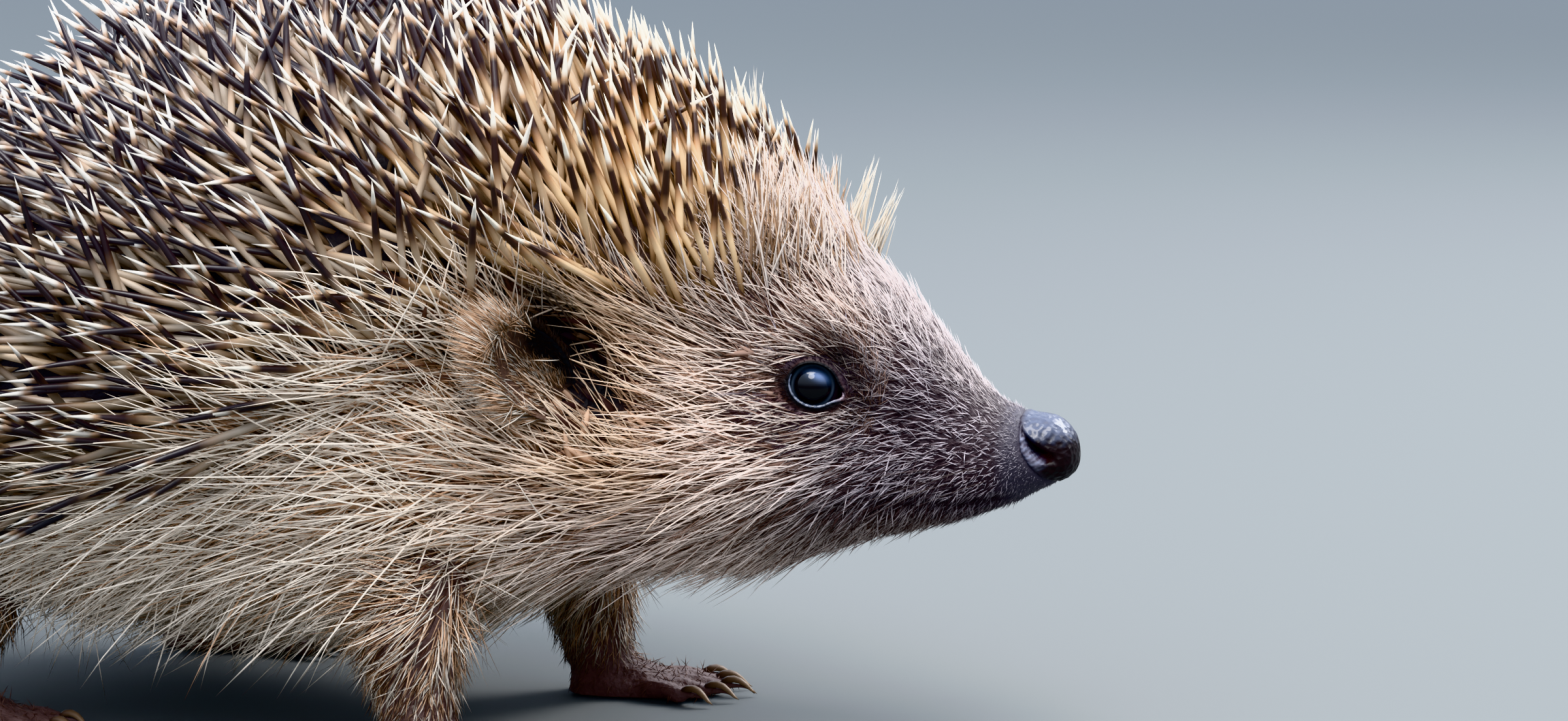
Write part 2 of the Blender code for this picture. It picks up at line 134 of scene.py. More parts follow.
# Spines
QUILL_DEPTH_SIDE = ((50, 8.0), (66, 9.0), (94, 10.0), (124, 10.0), (157, 8.5))
QUILL_DEPTH_TOP = 13.5
SPINES_OVER_EAR = ((38, 40), (43, 53), (50, 54.5), (57, 53.5), (64, 49), (72, 30))  # the lowest height that has spines
SPINE_TRIES = 34000  # places tried, of which those that stand clear of each other are kept
SPINE_SPACING = ((28, 1.2), (36, 1.35), (48, 1.55), (62, 1.65), (999, 1.7))
SPINE_FLOW = ((26, 82), (34, 74), (42, 50), (48, 32), (54, 20), (62, 14), (78, 13), (95, 11), (150, 4))
SPINE_LENGTH, SPINE_RADIUS = 20.0, 0.47
SPINE_STEPS, SPINE_PROFILE = np.array([0.0, 0.26, 0.56, 0.78, 0.90, 1.0]), np.array([0.70, 0.98, 1.0, 0.76, 0.42])
SPINE_SIDES = 5
CROWN_END = 62  # the crown's spines stand before this station, the back's behind it

# Fur: degrees by which it turns up from straight back, in three heights
FLOW_HIGH = ((6, 2), (14, 8), (20, 16), (26, 24), (36, 26), (46, 26), (56, 30), (80, 18), (157, 4))
FLOW_MIDDLE = ((6, -8), (18, -6), (28, -14), (35, -4), (41, 10), (47, 32), (52, 40), (60, 26), (75, 16), (157, 2))
FLOW_LOW = ((6, -34), (18, -42), (28, -26), (36, -15), (44, -3), (52, 14), (62, 12), (80, 0), (157, -6))
FUR_SPREAD = ((6, 26), (18, 22), (26, 14), (40, 14), (52, 22), (64, 27), (157, 27))
FUR_LIFT = ((6, 38), (9, 22), (20, 16), (32, 15), (46, 18), (60, 17), (157, 16))
FUR_LENGTH = ((5.2, 0.55), (6.5, 0.85), (9, 1.6), (14, 2.6), (20, 3.8), (26, 6.2), (34, 9.2), (44, 11.0), (54, 14),
              (66, 18), (120, 18), (140, 14), (150, 9), (157, 5))
# The layers, from the skin out. density is in hairs per square millimetre, share shortens the hair, kinds are the
# shares of pale, middling and dark hairs, thickness is half a hair's width.
FUR_LAYERS = (
    {"name": "underfur", "density": ((6, 1.7), (14, 1.5), (24, 0.95), (40, 0.65), (60, 0.5), (157, 0.4)),
     "share": 0.5, "kinds": (0.0, 0.4, 0.6), "thickness": ((6, 0.11), (14, 0.2), (30, 0.36), (60, 0.6), (157, 0.7)),
     "steps": (0.0, 0.4, 0.75, 1.0), "profile": (0.7, 1.0, 0.6), "sides": 4},
    {"name": "muzzle_hair", "density": ((6, 18), (14, 15.2), (20, 11.5), (27, 6), (33, 0), (157, 0)),
     "share": 1.0, "kinds": (0.40, 0.34, 0.26), "thickness": ((5, 0.040), (8, 0.047), (14, 0.061), (30, 0.08)),
     "steps": (0.0, 0.5, 1.0), "profile": (0.9, 0.85), "sides": 3},
    {"name": "short_hair", "density": ((16, 0), (24, 3.0), (32, 4.6), (44, 2.8), (60, 1.5), (157, 0.9)),
     "share": 0.8, "kinds": (0.26, 0.44, 0.30),
     "thickness": ((5, 0.06), (14, 0.065), (30, 0.075), (60, 0.085), (157, 0.095)),
     "steps": (0.0, 0.35, 0.7, 1.0), "profile": (0.85, 1.0, 0.65), "sides": 3},
    {"name": "guard_hair", "density": ((16, 0), (24, 1.8), (32, 2.9), (44, 2.0), (60, 1.35), (157, 0.8)),
     "share": 1.1, "kinds": (0.82, 0.15, 0.03),
     "thickness": ((5, 0.06), (14, 0.07), (30, 0.078), (44, 0.085), (54, 0.110), (157, 0.112)),
     "steps": (0.0, 0.25, 0.5, 0.78, 1.0), "profile": (0.85, 1.0, 0.92, 0.65), "sides": 3},
)
FUR_REGIONS = (("face", 0, 40), ("shoulder", 40, 76), ("flank", 76, 999))
PATCH_UV = 0.003
# The dark stripe from the brow past the eye to the lip, and the ring round the eye: millimetres ahead of the eye and
# above it, size, amount
EYE_STRIPE = ((0.5, 5.0, 1.9, 0.7), (3.0, 4.7, 2.3, 1.0), (5.6, 4.0, 2.9, 1.0), (8.4, 2.9, 3.3, 1.0),
              (11.8, 1.2, 3.6, 0.85), (14.0, -3.0, 4.0, 0.6), (0.2, 0.0, 4.3, 0.85))
BRIDGE_HEIGHT = ((6, 35.0), (14, 42.0), (26, 53.5), (34, 59), (60, 68))
# The tufts that stand off the left brow: station, degrees up round the head, forward lean, length
BROW_TUFTS = ((26.0, 70, 0.55, 9.5), (28.5, 66, 0.30, 11.0), (30.5, 74, 0.20, 8.5), (39.0, 76, 0.02, 14.0),
              (42.5, 74, -0.05, 13.5))
TUFT_HAIRS = 30
LID_HAIRS, LEG_HAIRS, TAIL_HAIRS = 4400, 4500, 350
EAR_HAIRS, FRINGE_HAIRS, BRISTLES = 4200, 1500, 2100
WHISKERS_IN_ROW, WHISKER_ROWS = 6, 2

random = np.random.default_rng(7)


def srgb(*values):
    """A colour as seen on a screen, 0 to 1, in the linear form that shaders use."""
    values = np.asarray(values, float)
    return np.where(values <= 0.04045, values / 12.92, ((values + 0.055) / 1.055) ** 2.4)


PALE_HAIR, BROWN_HAIR, DARK_HAIR = srgb(1.0, 0.94, 0.87), srgb(0.84, 0.69, 0.57), srgb(0.36, 0.26, 0.22)
PALE_FACE, MIDDLE_FACE, DARK_FACE = srgb(0.97, 0.89, 0.84), srgb(0.60, 0.49, 0.44), srgb(0.25, 0.185, 0.175)
PALE_MUZZLE, MIDDLE_MUZZLE, DARK_MUZZLE = srgb(0.78, 0.73, 0.75), srgb(0.40, 0.345, 0.355), srgb(0.15, 0.115, 0.125)
WARM_HAIR, BRIDGE_HAIR = srgb(0.91, 0.78, 0.64), srgb(0.90, 0.85, 0.84)
UNDERFUR = srgb(0.38, 0.275, 0.22)
MUZZLE_SKIN = srgb(0.21, 0.165, 0.175)
MAUVE_SKIN = srgb(0.47, 0.385, 0.41)
BODY_SKIN = srgb(0.15, 0.13, 0.14)
# black skin, also laid on the ear hollows as painted shade
BLACK_SKIN_AND_SHADE = srgb(0.07, 0.055, 0.06)
MUZZLE_RIM, MUZZLE_FUZZ = srgb(0.27, 0.25, 0.28), srgb(0.50, 0.49, 0.53)
PAW_SKIN = srgb(0.40, 0.325, 0.305)
PINK_SKIN = srgb(0.66, 0.50, 0.50)
LID_SKIN, LID_FOLD = srgb(0.155, 0.115, 0.12), srgb(0.29, 0.24, 0.275)
# the ear's own skin, and the painted shade in its hollow
EAR_SKIN, EAR_PAINTED_SHADE = srgb(0.38, 0.30, 0.26), srgb(0.05, 0.04, 0.042)
CLAW_ROOT, CLAW_TIP = srgb(0.22, 0.16, 0.14), srgb(0.62, 0.52, 0.42)
# A spine's colours from its root to its tip, on the back and towards the amber crown; the root is darker, partly dirt
# and partly painted shade deep among the spines
SHAFT, BAND, TIP = (0.84, 0.78, 0.71), (0.18, 0.145, 0.165), (0.94, 0.91, 0.87)
BACK_BANDS = ((0.0, (0.50, 0.43, 0.37)), (0.18, (0.70, 0.62, 0.54)), (0.38, SHAFT), (0.52, (0.66, 0.565, 0.49)),
              (0.59, BAND), (0.80, BAND), (0.84, (0.58, 0.46, 0.37)), (0.88, TIP), (1.0, TIP))
AMBER_BAND, AMBER_TIP = (0.235, 0.15, 0.11), (0.98, 0.94, 0.86)
CROWN_BANDS = ((0.0, (0.46, 0.35, 0.25)), (0.18, (0.74, 0.60, 0.45)), (0.48, (0.93, 0.80, 0.63)),
               (0.59, (0.68, 0.52, 0.38)), (0.66, AMBER_BAND), (0.79, AMBER_BAND), (0.83, (0.76, 0.61, 0.46)),
               (0.87, AMBER_TIP), (1.0, AMBER_TIP))
SKY = ((0.0, (0.25, 0.28, 0.32)), (0.10, (0.35, 0.38, 0.42)), (0.32, (1.2, 1.33, 1.55)), (1.0, (2.1, 2.5, 3.1)))


# ---------------------------------------------------------------- numbers


def smooth(x, start, end):
    """0 before start, 1 after end, smooth between them. start may be the larger."""
    t = np.clip((x - start) / (end - start), 0, 1)
    return t * t * (3 - 2 * t)


def bump(x, centre, half_width):
    return np.exp(-(((x - centre) / half_width) ** 2))


def along_steps(s, *steps):
    """A value that follows steps of (s, value) and is level beyond them."""
    return np.interp(s, [step[0] for step in steps], [step[1] for step in steps])


def unit(vectors):
    return vectors / np.maximum(np.linalg.norm(vectors, axis=-1, keepdims=True), 1e-9)


def sideways_to(first, second):
    """Unit directions square to both, even where the two are parallel."""
    return unit(np.cross(first, second) + 1e-6)


def varied(shape, spread, low, high):
    """Factors about 1 that vary by spread, kept between low and high."""
    return np.clip(1 + spread * random.standard_normal(shape), low, high)


def mixed(count, share, first, second):
    """One colour for a random share of the hairs, and another for the rest."""
    return np.where(random.random((count, 1)) < share, first, second)


def shaded(tones, *shades):
    """Colours along hairs: each hair's own tone times a painted shade at each step, darkest at the root."""
    return tones[:, None] * np.array(shades)[None, :, None]


def layered(colour, *layers):
    """Colours with layers of (amount, tone) laid over them in turn."""
    for amount, tone in layers:
        colour = colour + amount[..., None] * (tone - colour)
    return colour


def spine_at(s):
    """Place and heading of the animal's middle line at station s."""
    s = np.asarray(s, float)
    radius = (TURN_REAR - TURN_FRONT) / NECK_TURN
    heading = np.clip(TURN_REAR - s, 0, TURN_REAR - TURN_FRONT) / radius
    ahead = np.maximum(TURN_FRONT - s, 0)
    x = MIDDLE_S - np.maximum(s, TURN_REAR) + radius * np.sin(heading) + ahead * np.cos(heading)
    y = radius * (1 - np.cos(heading)) + ahead * np.sin(heading)
    return x, y, heading


def bent(s, y, z):
    x0, y0, heading = spine_at(s)
    return np.stack(np.broadcast_arrays(x0 - y * np.sin(heading), y0 + y * np.cos(heading), z), -1)


def turned(direction, s):
    """A direction given as (forward, left, up) at station s, in the frame."""
    heading = spine_at(s)[2]
    forward, left, up = direction
    c, d = np.cos(heading), np.sin(heading)
    return unit(np.stack(np.broadcast_arrays(forward * c - left * d, forward * d + left * c, up), -1))


def middle_height(s):
    return along_steps(s, *MIDDLE_HEIGHT)


def on_rings(s, angles, radius):
    """Station, side and height of a grid of points, each at its radius from the middle line."""
    station = np.broadcast_to(s[:, None], radius.shape)
    return station, radius * np.cos(angles), middle_height(station) + radius * np.sin(angles)


def behind_pad(s, up):
    """How far a place lies behind the rear edge of the nose's pad."""
    return s - along_steps(up, *PAD_REAR)


def mouth_height(s):
    return along_steps(s, (7, 30.4), (12, 30.0), (20, 30.6), (30, 30.0), (34, 28.5))


# ---------------------------------------------------------------- meshes


def linked(name, data):
    """A new object in the scene."""
    made = bpy.data.objects.new(name, data)
    bpy.context.scene.collection.objects.link(made)
    return made


def fitted(made, slot, *nodes):
    """Fixes a piece to the animal and hides the solids that it stands for. slot is not used."""
    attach(made, "root")
    if nodes:
        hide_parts(*nodes)


def mesh_object(name, points, corners, sizes, material):
    """An object from points in millimetres, the corners of all faces in one row, and each face's corner count."""
    mesh = bpy.data.meshes.new(name)
    mesh.vertices.add(len(points))
    mesh.vertices.foreach_set("co", np.ascontiguousarray(points * MM, np.float32).ravel())
    mesh.loops.add(len(corners))
    mesh.loops.foreach_set("vertex_index", np.ascontiguousarray(corners, np.int32))
    mesh.polygons.add(len(sizes))
    starts = np.concatenate([[0], np.cumsum(sizes)[:-1]])
    mesh.polygons.foreach_set("loop_start", starts.astype(np.int32))
    mesh.update(calc_edges=True)
    mesh.shade_smooth()
    mesh.materials.append(material)
    return linked(name, mesh)


def paint(made, colours):
    """Stores one colour per point, the tint that the materials read."""
    colours = np.concatenate([colours, np.ones((len(colours), 1))], 1)
    attribute = made.data.color_attributes.new("tint", "FLOAT_COLOR", "POINT")
    attribute.data.foreach_set("color", colours.astype(np.float32).ravel())


def store(made, layer, values):
    attribute = made.data.attributes.new(layer, "FLOAT", "POINT")
    attribute.data.foreach_set("value", values.astype(np.float32))


def grid_faces(rows, columns):
    """Corners of the quads of a grid of points whose rows close on themselves."""
    i = np.arange(rows - 1)[:, None]
    j = np.arange(columns)[None, :]
    k = (j + 1) % columns
    quads = [i * columns + j, (i + 1) * columns + j, (i + 1) * columns + k, i * columns + k]
    return np.stack(np.broadcast_arrays(*quads), -1).reshape(-1, 4)


def fan(centre, ring):
    """Triangles from a centre point to each side of a closed ring of points."""
    return np.stack([np.full(len(ring), centre), ring, np.roll(ring, -1)], 1)


def grid_object(name, points, material, flipped):
    """An open grid of rings, (rows, columns, 3). flipped turns its faces over."""
    quads = grid_faces(*points.shape[:2])
    quads = quads[:, ::-1] if flipped else quads
    return mesh_object(name, points.reshape(-1, 3), quads.ravel(), np.full(len(quads), 4), material)


def tube_object(name, points, ends, material):
    """A grid of rings closed by a fan at its front and, where ends has a second point, at its rear."""
    rows, columns = points.shape[:2]
    count, ring = rows * columns, np.arange(columns)
    fans = [fan(count, ring), fan(count + 1, count - columns + ring)[:, [0, 2, 1]]][: len(ends)]
    corners = np.concatenate([grid_faces(rows, columns).ravel(), *(triangles.ravel() for triangles in fans)])
    sizes = np.repeat([4, 3], [count - columns, columns * len(ends)])
    return mesh_object(name, np.concatenate([points.reshape(-1, 3), ends]), corners, sizes, material)


def strands(name, slot, material, sides, flatness, centres, radii, across, colours, patches):
    """Closed needles with one point at the tip, all in one mesh, none of them into the floor.

    centres is (count, steps, 3) from root to tip, radii (count, steps - 1), across a sideways direction for each,
    colours (count, steps, 3), patches each root's place on the unwrap.
    """
    count, steps = centres.shape[:2]
    centres = np.concatenate([centres[..., :2], np.maximum(centres[..., 2:], FLOOR_GAP)], 2)
    tangents = unit(np.gradient(centres, axis=1))
    side = unit(across[:, None] - tangents * np.sum(across[:, None] * tangents, -1, keepdims=True))
    out = np.cross(tangents, side)
    angles = 2 * np.pi * np.arange(sides) / sides
    wide = np.cos(angles)[:, None] * side[:, :-1, None]
    tall = np.sin(angles)[:, None] * out[:, :-1, None] * flatness
    rings = centres[:, :-1, None] + radii[..., None, None] * (wide + tall)
    per = (steps - 1) * sides + 1
    points = np.concatenate([rings.reshape(count, per - 1, 3), centres[:, -1:]], 1)
    shades = np.concatenate([np.repeat(colours[:, :-1], sides, 1), colours[:, -1:]], 1)
    base = np.arange(sides)
    last = (steps - 2) * sides
    tips = np.stack([last + base, np.full(sides, per - 1), last + (base + 1) % sides], 1)
    one = np.concatenate([grid_faces(steps - 1, sides).ravel(), tips.ravel(), base])
    corners = (np.arange(count)[:, None] * per + one).ravel()
    sizes = np.tile([4] * last + [3] * sides + [sides], count)
    made = mesh_object(name, points.reshape(-1, 3), corners, sizes, material)
    paint(made, shades.reshape(-1, 3))
    along = np.append(np.repeat(np.linspace(0, 1, steps)[:-1], sides), 1.0)
    round_it = np.append(np.tile(base / sides, steps - 1), 0.5)
    places = (patches[:, None] + np.stack([round_it, along], 1) * PATCH_UV).reshape(-1, 2)
    layer = made.data.uv_layers.new(name="OFBake")
    layer.data.foreach_set("uv", places[corners].astype(np.float32).ravel())
    fitted(made, slot)
    return made


def joined(name, objects):
    """Several mesh objects made into one."""
    if len(objects) > 1:
        with bpy.context.temp_override(active_object=objects[0], selected_editable_objects=objects):
            bpy.ops.object.join()
    objects[0].name = name
    return objects[0]


def points_of(made):
    points = np.zeros(len(made.data.vertices) * 3, np.float32)
    made.data.vertices.foreach_get("co", points)
    return points.reshape(-1, 3).astype(float) / MM


# ---------------------------------------------------------------- the coat's outline and the skin


def tree_of(nodes):
    """The solids of these nodes for ray casting, in millimetres."""
    points, faces = [], []
    for node in nodes:
        mesh = frame["nodes"][node].data
        offset = len(points)
        points += [vertex.co / MM for vertex in mesh.vertices]
        faces += [[offset + i for i in polygon.vertices] for polygon in mesh.polygons]
    return BVHTree.FromPolygons(points, faces)


def depth_to(tree, outer, inward, away, missed, limit=None):
    """How far out the tree reaches from a place, by a ray sent inward from a point that lies away from it."""
    hit = tree.ray_cast(Vector(outer), Vector(inward), limit or away)
    return away - hit[3] if hit[0] is not None else missed


def cast(tree, s, angles):
    """How far the solids reach from the middle line, at each station and angle. 0 where there are none."""
    found = np.zeros((len(s), len(angles)))
    height = middle_height(s)
    for i in range(len(s)):
        outer = bent(s[i], FAR * np.cos(angles), height[i] + FAR * np.sin(angles))
        middle = bent(s[i], 0.0, height[i])
        for j in range(len(angles)):
            found[i, j] = depth_to(tree, outer[j], middle - outer[j], FAR, 0.0)
    return found


def softened(table, times):
    """The table with each value averaged with its neighbours; columns close on themselves."""
    for _ in range(times):
        table = 0.5 * table + 0.25 * (np.roll(table, 1, 1) + np.roll(table, -1, 1))
        table[1:-1] = 0.5 * table[1:-1] + 0.25 * (table[:-2] + table[2:])
    return table


def widest_of_neighbours(table):
    """Closes the thin gaps between the solids."""
    best = np.maximum.reduce([table, np.roll(table, -1, 1), np.roll(table, 1, 1)])
    tall = best.copy()
    tall[1:-1] = np.maximum(best[1:-1], np.maximum(best[:-2], best[2:]))
    return tall


def filled_in(table, hole, times):
    """The table with a hole filled smoothly from its edge."""
    filled = table.copy()
    filled[hole] = table[~hole].mean()
    for _ in range(times):
        around = 0.25 * sum(np.roll(filled, step, axis) for axis in (0, 1) for step in (1, -1))
        filled[hole] = around[hole]
    return filled


class Eye:
    """An eye of the solids: its centre and radius, and its forward, upward and outward directions."""

    def __init__(self, label, side):
        low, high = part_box(f"eye_{label}")
        self.label, self.side = label, side
        self.centre = np.array((low + high) / 2) / MM
        self.radius = (high.z - low.z) / 2 / MM
        forward, sideways, up = EYE_OUTWARD
        self.out = turned((forward, side * sideways, up), EYE_S)
        level = turned((1.0, 0.0, 0.0), EYE_S)
        level = unit(level - self.out * (level @ self.out))
        upright = np.cross(level, self.out) * side
        c, d = math.cos(OPENING_TILT), math.sin(OPENING_TILT)
        self.ahead, self.above = level * c + upright * d, upright * c - level * d

    def place(self, ahead, above, out):
        """Points at these distances along the eye's directions."""
        flat = self.centre + ahead[..., None] * self.ahead + above[..., None] * self.above
        return flat + out[..., None] * self.out

    def seen(self, points):
        """How far points lie ahead of the centre, above it and outside it."""
        offset = points - self.centre
        return offset @ self.ahead, offset @ self.above, offset @ self.out


def by_eyes(points, ahead_of, above_of, size):
    """1 at a place given from the eye along its own axes, fading over size."""
    best = np.zeros(points.shape[:-1])
    for eye in eyes:
        place = eye.centre + eye.ahead * ahead_of + eye.above * above_of + eye.out * 2.5
        best = np.maximum(best, bump(np.linalg.norm(points - place, axis=-1), 0, size))
    return best


def ear_shade(points):
    """Painted shade: 1 in the hollow in front of each ear and down behind the cheek."""
    shade = np.zeros(points.shape[:-1])
    for _, side in SIDES:
        for s, y, z, size, amount in EAR_HOLLOWS:
            offset = points - bent(s, side * y, z)
            outward = turned((0.2, side, 0.0), s)
            offset = offset - 0.9 * (offset @ outward)[..., None] * outward
            shade = np.maximum(shade, amount * bump(np.linalg.norm(offset, axis=-1), 0, size))
    return shade


def leftward(columns):
    """How far round to the left a column of the skin's grid lies: 1 at the left, -1 at the right."""
    return np.cos(2 * np.pi * columns / AROUND)


class Skin:
    """The skin of head and body as a grid over stations and angles, with functions that read it anywhere."""

    def __init__(self):
        self.s = self.stations()
        self.angles = 2 * np.pi * np.arange(AROUND) / AROUND
        flesh = widest_of_neighbours(cast(tree_of(HEAD_NODES + TRUNK_NODES), self.s, self.angles))
        outline = softened(filled_in(flesh, self.near_eyes(flesh), 260), 5)
        mantle = softened(cast(tree_of(MANTLE_NODES), self.s, self.angles), 1)
        up = np.sin(self.angles)[None]
        s = self.s[:, None]
        radius = np.maximum(outline - self.coat_depth(s, up), 0.15)
        height = middle_height(s) + outline * up
        front = smooth(s, 30.0, 32.6) * smooth(height - (90.2 - 1.06 * s), -1.0, 1.5)
        over_ear = smooth(height - along_steps(s, *SPINES_OVER_EAR), -1.0, 0.8)
        spines = smooth(mantle - outline, 0.3, 1.5) * front * over_ear
        self.has_spines = spines > 0.5
        self.spines = spines * self.has_spines
        side_depth = along_steps(s, *QUILL_DEPTH_SIDE)
        sunk = mantle - side_depth - (QUILL_DEPTH_TOP - side_depth) * smooth(up, 0.3, 0.9)
        self.radius = radius + softened(np.maximum(sunk - radius, 0) * self.has_spines, 22)
        self.radius = softened(self.radius + self.face_forms(), 1)
        self.points = bent(*self.laid_out())
        self.frames()

    def stations(self):
        found = [0.15]
        while found[-1] < SKIN_END:
            found.append(found[-1] + along_steps(found[-1], *GRID_STEPS))
        return np.array(found[:-1] + [SKIN_END])

    def laid_out(self):
        return on_rings(self.s, self.angles, self.radius)

    def near_eyes(self, radius):
        points = bent(*on_rings(self.s, self.angles, radius))
        return np.any([np.linalg.norm(points - eye.centre, axis=-1) < EYE_CLEARING for eye in eyes], 0)

    def coat_depth(self, s, up):
        side, top, low = (along_steps(s, *steps) for steps in (SIDE_DEPTH, TOP_DEPTH, LOW_DEPTH))
        depth = side + (top - side) * smooth(up, 0.35, 0.85) + (low - side) * smooth(-up, 0.35, 0.85)
        return depth + along_steps(behind_pad(s, up), (-2.0, 4.4), (-1.2, 1.2), (-0.5, 0.15), (0.0, 0.0))

    def face_forms(self):
        """Bulges and hollows of the face under its fur: lips, cheeks, brow, the dip behind the cheek, the mouth."""
        s, y, z = self.laid_out()
        forms = 0.45 * bump(s, 11, 4) * bump(z, 32.5, 2.2)
        forms -= 0.5 * bump(s, 18, 5) * bump(z, 38.5, 3.5)
        forms += 0.6 * bump(s, 24, 4) * bump(z, 50, 3.0)
        forms += 0.9 * bump(s, 37, 6) * bump(z, 34, 6)
        forms -= 1.2 * bump(s, 48, 3.5) * bump(z, 36, 9)
        for s0, _, z0, size, amount in EAR_HOLLOWS:
            forms -= 2.6 * amount**2 * bump(np.hypot(s - s0, z - z0), 0, size * 0.85) * smooth(np.abs(y), 10, 14)
        reach = smooth(s, 6.5, 8.0) * smooth(s, 33.5, 31.0)
        forms -= 0.75 * reach * bump(z, mouth_height(s), 0.42)
        forms += 0.25 * reach * bump(z, mouth_height(s) + 1.1, 0.7)
        return forms * smooth(s, 6.5, 8.0)

    def frames(self):
        """At every point: the direction towards the tail, the outward normal and the area of its cell."""
        step = np.gradient(self.points, axis=0)
        ahead, behind = np.roll(self.points, -1, 1), np.roll(self.points, 1, 1)
        self.back = unit(step)
        normal = unit(np.cross(unit(ahead - behind), self.back))
        outward = self.points - bent(self.s, 0.0, middle_height(self.s))[:, None]
        self.normal = np.where(np.sum(normal * outward, -1, keepdims=True) < 0, -normal, normal)
        self.cell_area = np.linalg.norm(np.cross(step, (ahead - behind) / 2), axis=-1)

    def scatter(self, count, density):
        """Random places on the grid, (row, column) with fractions, as dense as the density table says."""
        weight = (density * self.cell_area)[:-1]
        ends = np.cumsum(weight.ravel())
        picks = (np.arange(count) + random.random(count)) / count * ends[-1]
        cells = np.minimum(np.searchsorted(ends, picks), len(ends) - 1)
        rows, columns = np.divmod(cells, AROUND)
        return rows + random.random(count), columns + random.random(count)

    def read(self, table, rows, columns):
        """A table's values between grid points."""
        i = np.clip(rows.astype(int), 0, len(self.s) - 2)
        j = columns.astype(int) % AROUND
        k = (j + 1) % AROUND
        t, u = rows - i, columns - columns.astype(int)
        if table.ndim == 3:
            t, u = t[:, None], u[:, None]
        near = table[i, j] * (1 - u) + table[i, k] * u
        far = table[i + 1, j] * (1 - u) + table[i + 1, k] * u
        return near * (1 - t) + far * t

    def station(self, rows):
        return np.interp(rows, np.arange(len(self.s)), self.s)

    def roots(self, rows, columns):
        """Station, place and height of roots on the grid."""
        points = self.read(self.points, rows, columns)
        return self.station(rows), points, points[:, 2]

    def unwrap(self, rows, columns):
        """Places on the skin's own unwrap: along the body one way, round it the other."""
        return np.stack([0.01 + 0.97 * self.station(rows) / LENGTH, 0.01 + 0.97 * (columns % AROUND) / AROUND], 1)

    def single_root(self, s, column):
        """Place of one root at a station and a column, and where it lies on the unwrap."""
        row = np.array([np.interp(s, self.s, np.arange(len(self.s)))])
        column = np.array([float(column)])
        return self.read(self.points, row, column)[0], self.unwrap(row, column)[0]


# ---------------------------------------------------------------- materials


def principled(name, **values):
    """A material with one principled shader, and its nodes, links and shader. Values are set on the sockets."""
    made = bpy.data.materials.new(name)
    made.use_nodes = True
    nodes, links = made.node_tree.nodes, made.node_tree.links
    shader = nodes["Principled BSDF"]
    for socket, value in values.items():
        shader.inputs[socket.replace("_", " ")].default_value = value
    return made, nodes, links, shader


def attribute(nodes, name):
    made = nodes.new("ShaderNodeAttribute")
    made.attribute_name = name
    return made


def tinted(name, **values):
    """A material coloured by the points' own tint."""
    made, nodes, links, shader = principled(name, **values)
    links.new(attribute(nodes, "tint").outputs["Color"], shader.inputs["Base Color"])
    return made, nodes, links, shader


def add_bump(nodes, links, shader, distance, kind):
    """Fine relief from object coordinates, at 1500 features per metre."""
    place = nodes.new("ShaderNodeTexCoord")
    texture = nodes.new(kind)
    texture.inputs["Scale"].default_value = 1500
    relief = nodes.new("ShaderNodeBump")
    relief.inputs["Strength"].default_value = 1.0
    relief.inputs["Distance"].default_value = distance
    links.new(place.outputs["Object"], texture.inputs["Vector"])
    links.new(texture.outputs[0], relief.inputs["Height"])
    links.new(relief.outputs["Normal"], shader.inputs["Normal"])


def skin_material():
    made, nodes, links, shader = tinted("skin", Roughness=0.6, Specular_IOR_Level=0.25)
    add_bump(nodes, links, shader, 0.0003, "ShaderNodeTexNoise")
    return made


def hair_material(name, roughness):
    return tinted(name, Roughness=roughness, Specular_IOR_Level=0.18)[0]


def nose_material():
    """Leather under a wet layer, which the surface's own "wet" value thins out."""
    made, nodes, links, shader = tinted("nose_leather", Roughness=0.45, Specular_IOR_Level=0.22, Coat_Roughness=0.13)
    links.new(attribute(nodes, "wet").outputs["Fac"], shader.inputs["Coat Weight"])
    add_bump(nodes, links, shader, 0.0002, "ShaderNodeTexVoronoi")
    return made


def ramp_of(nodes, stops):
    """A colour ramp with these stops of (position, colour)."""
    made = nodes.new("ShaderNodeValToRGB")
    elements = made.color_ramp.elements
    while len(elements) < len(stops):
        elements.new(0.5)
    for element, (position, colour) in zip(elements, stops):
        element.position, element.color = position, (*colour, 1.0)
    return made


def spine_material():
    """Cream tip, dark band, tan shaft: read from how far along the spine a point lies."""
    made, nodes, links, shader = principled("spines", Roughness=0.34, Specular_IOR_Level=0.45)
    along, offset, tone = (attribute(nodes, name) for name in ("along", "offset", "tint"))
    split = nodes.new("ShaderNodeSeparateColor")
    place = nodes.new("ShaderNodeMath")
    place.operation = "ADD"
    back, crown = (ramp_of(nodes, [(at, srgb(*tint)) for at, tint in bands]) for bands in (BACK_BANDS, CROWN_BANDS))
    mix = nodes.new("ShaderNodeMix")
    mix.data_type = "RGBA"
    scale = nodes.new("ShaderNodeVectorMath")
    scale.operation = "SCALE"
    for start, end in (
        (along.outputs["Fac"], place.inputs[0]),
        (offset.outputs["Fac"], place.inputs[1]),
        (tone.outputs["Color"], split.inputs["Color"]),
        (place.outputs[0], back.inputs["Fac"]),
        (place.outputs[0], crown.inputs["Fac"]),
        (split.outputs["Green"], mix.inputs["Factor"]),
        (back.outputs["Color"], mix.inputs["A"]),
        (crown.outputs["Color"], mix.inputs["B"]),
        (mix.outputs["Result"], scale.inputs[0]),
        (split.outputs["Red"], scale.inputs["Scale"]),
        (scale.outputs[0], shader.inputs["Base Color"]),
    ):
        links.new(start, end)
    return made


# ---------------------------------------------------------------- skin


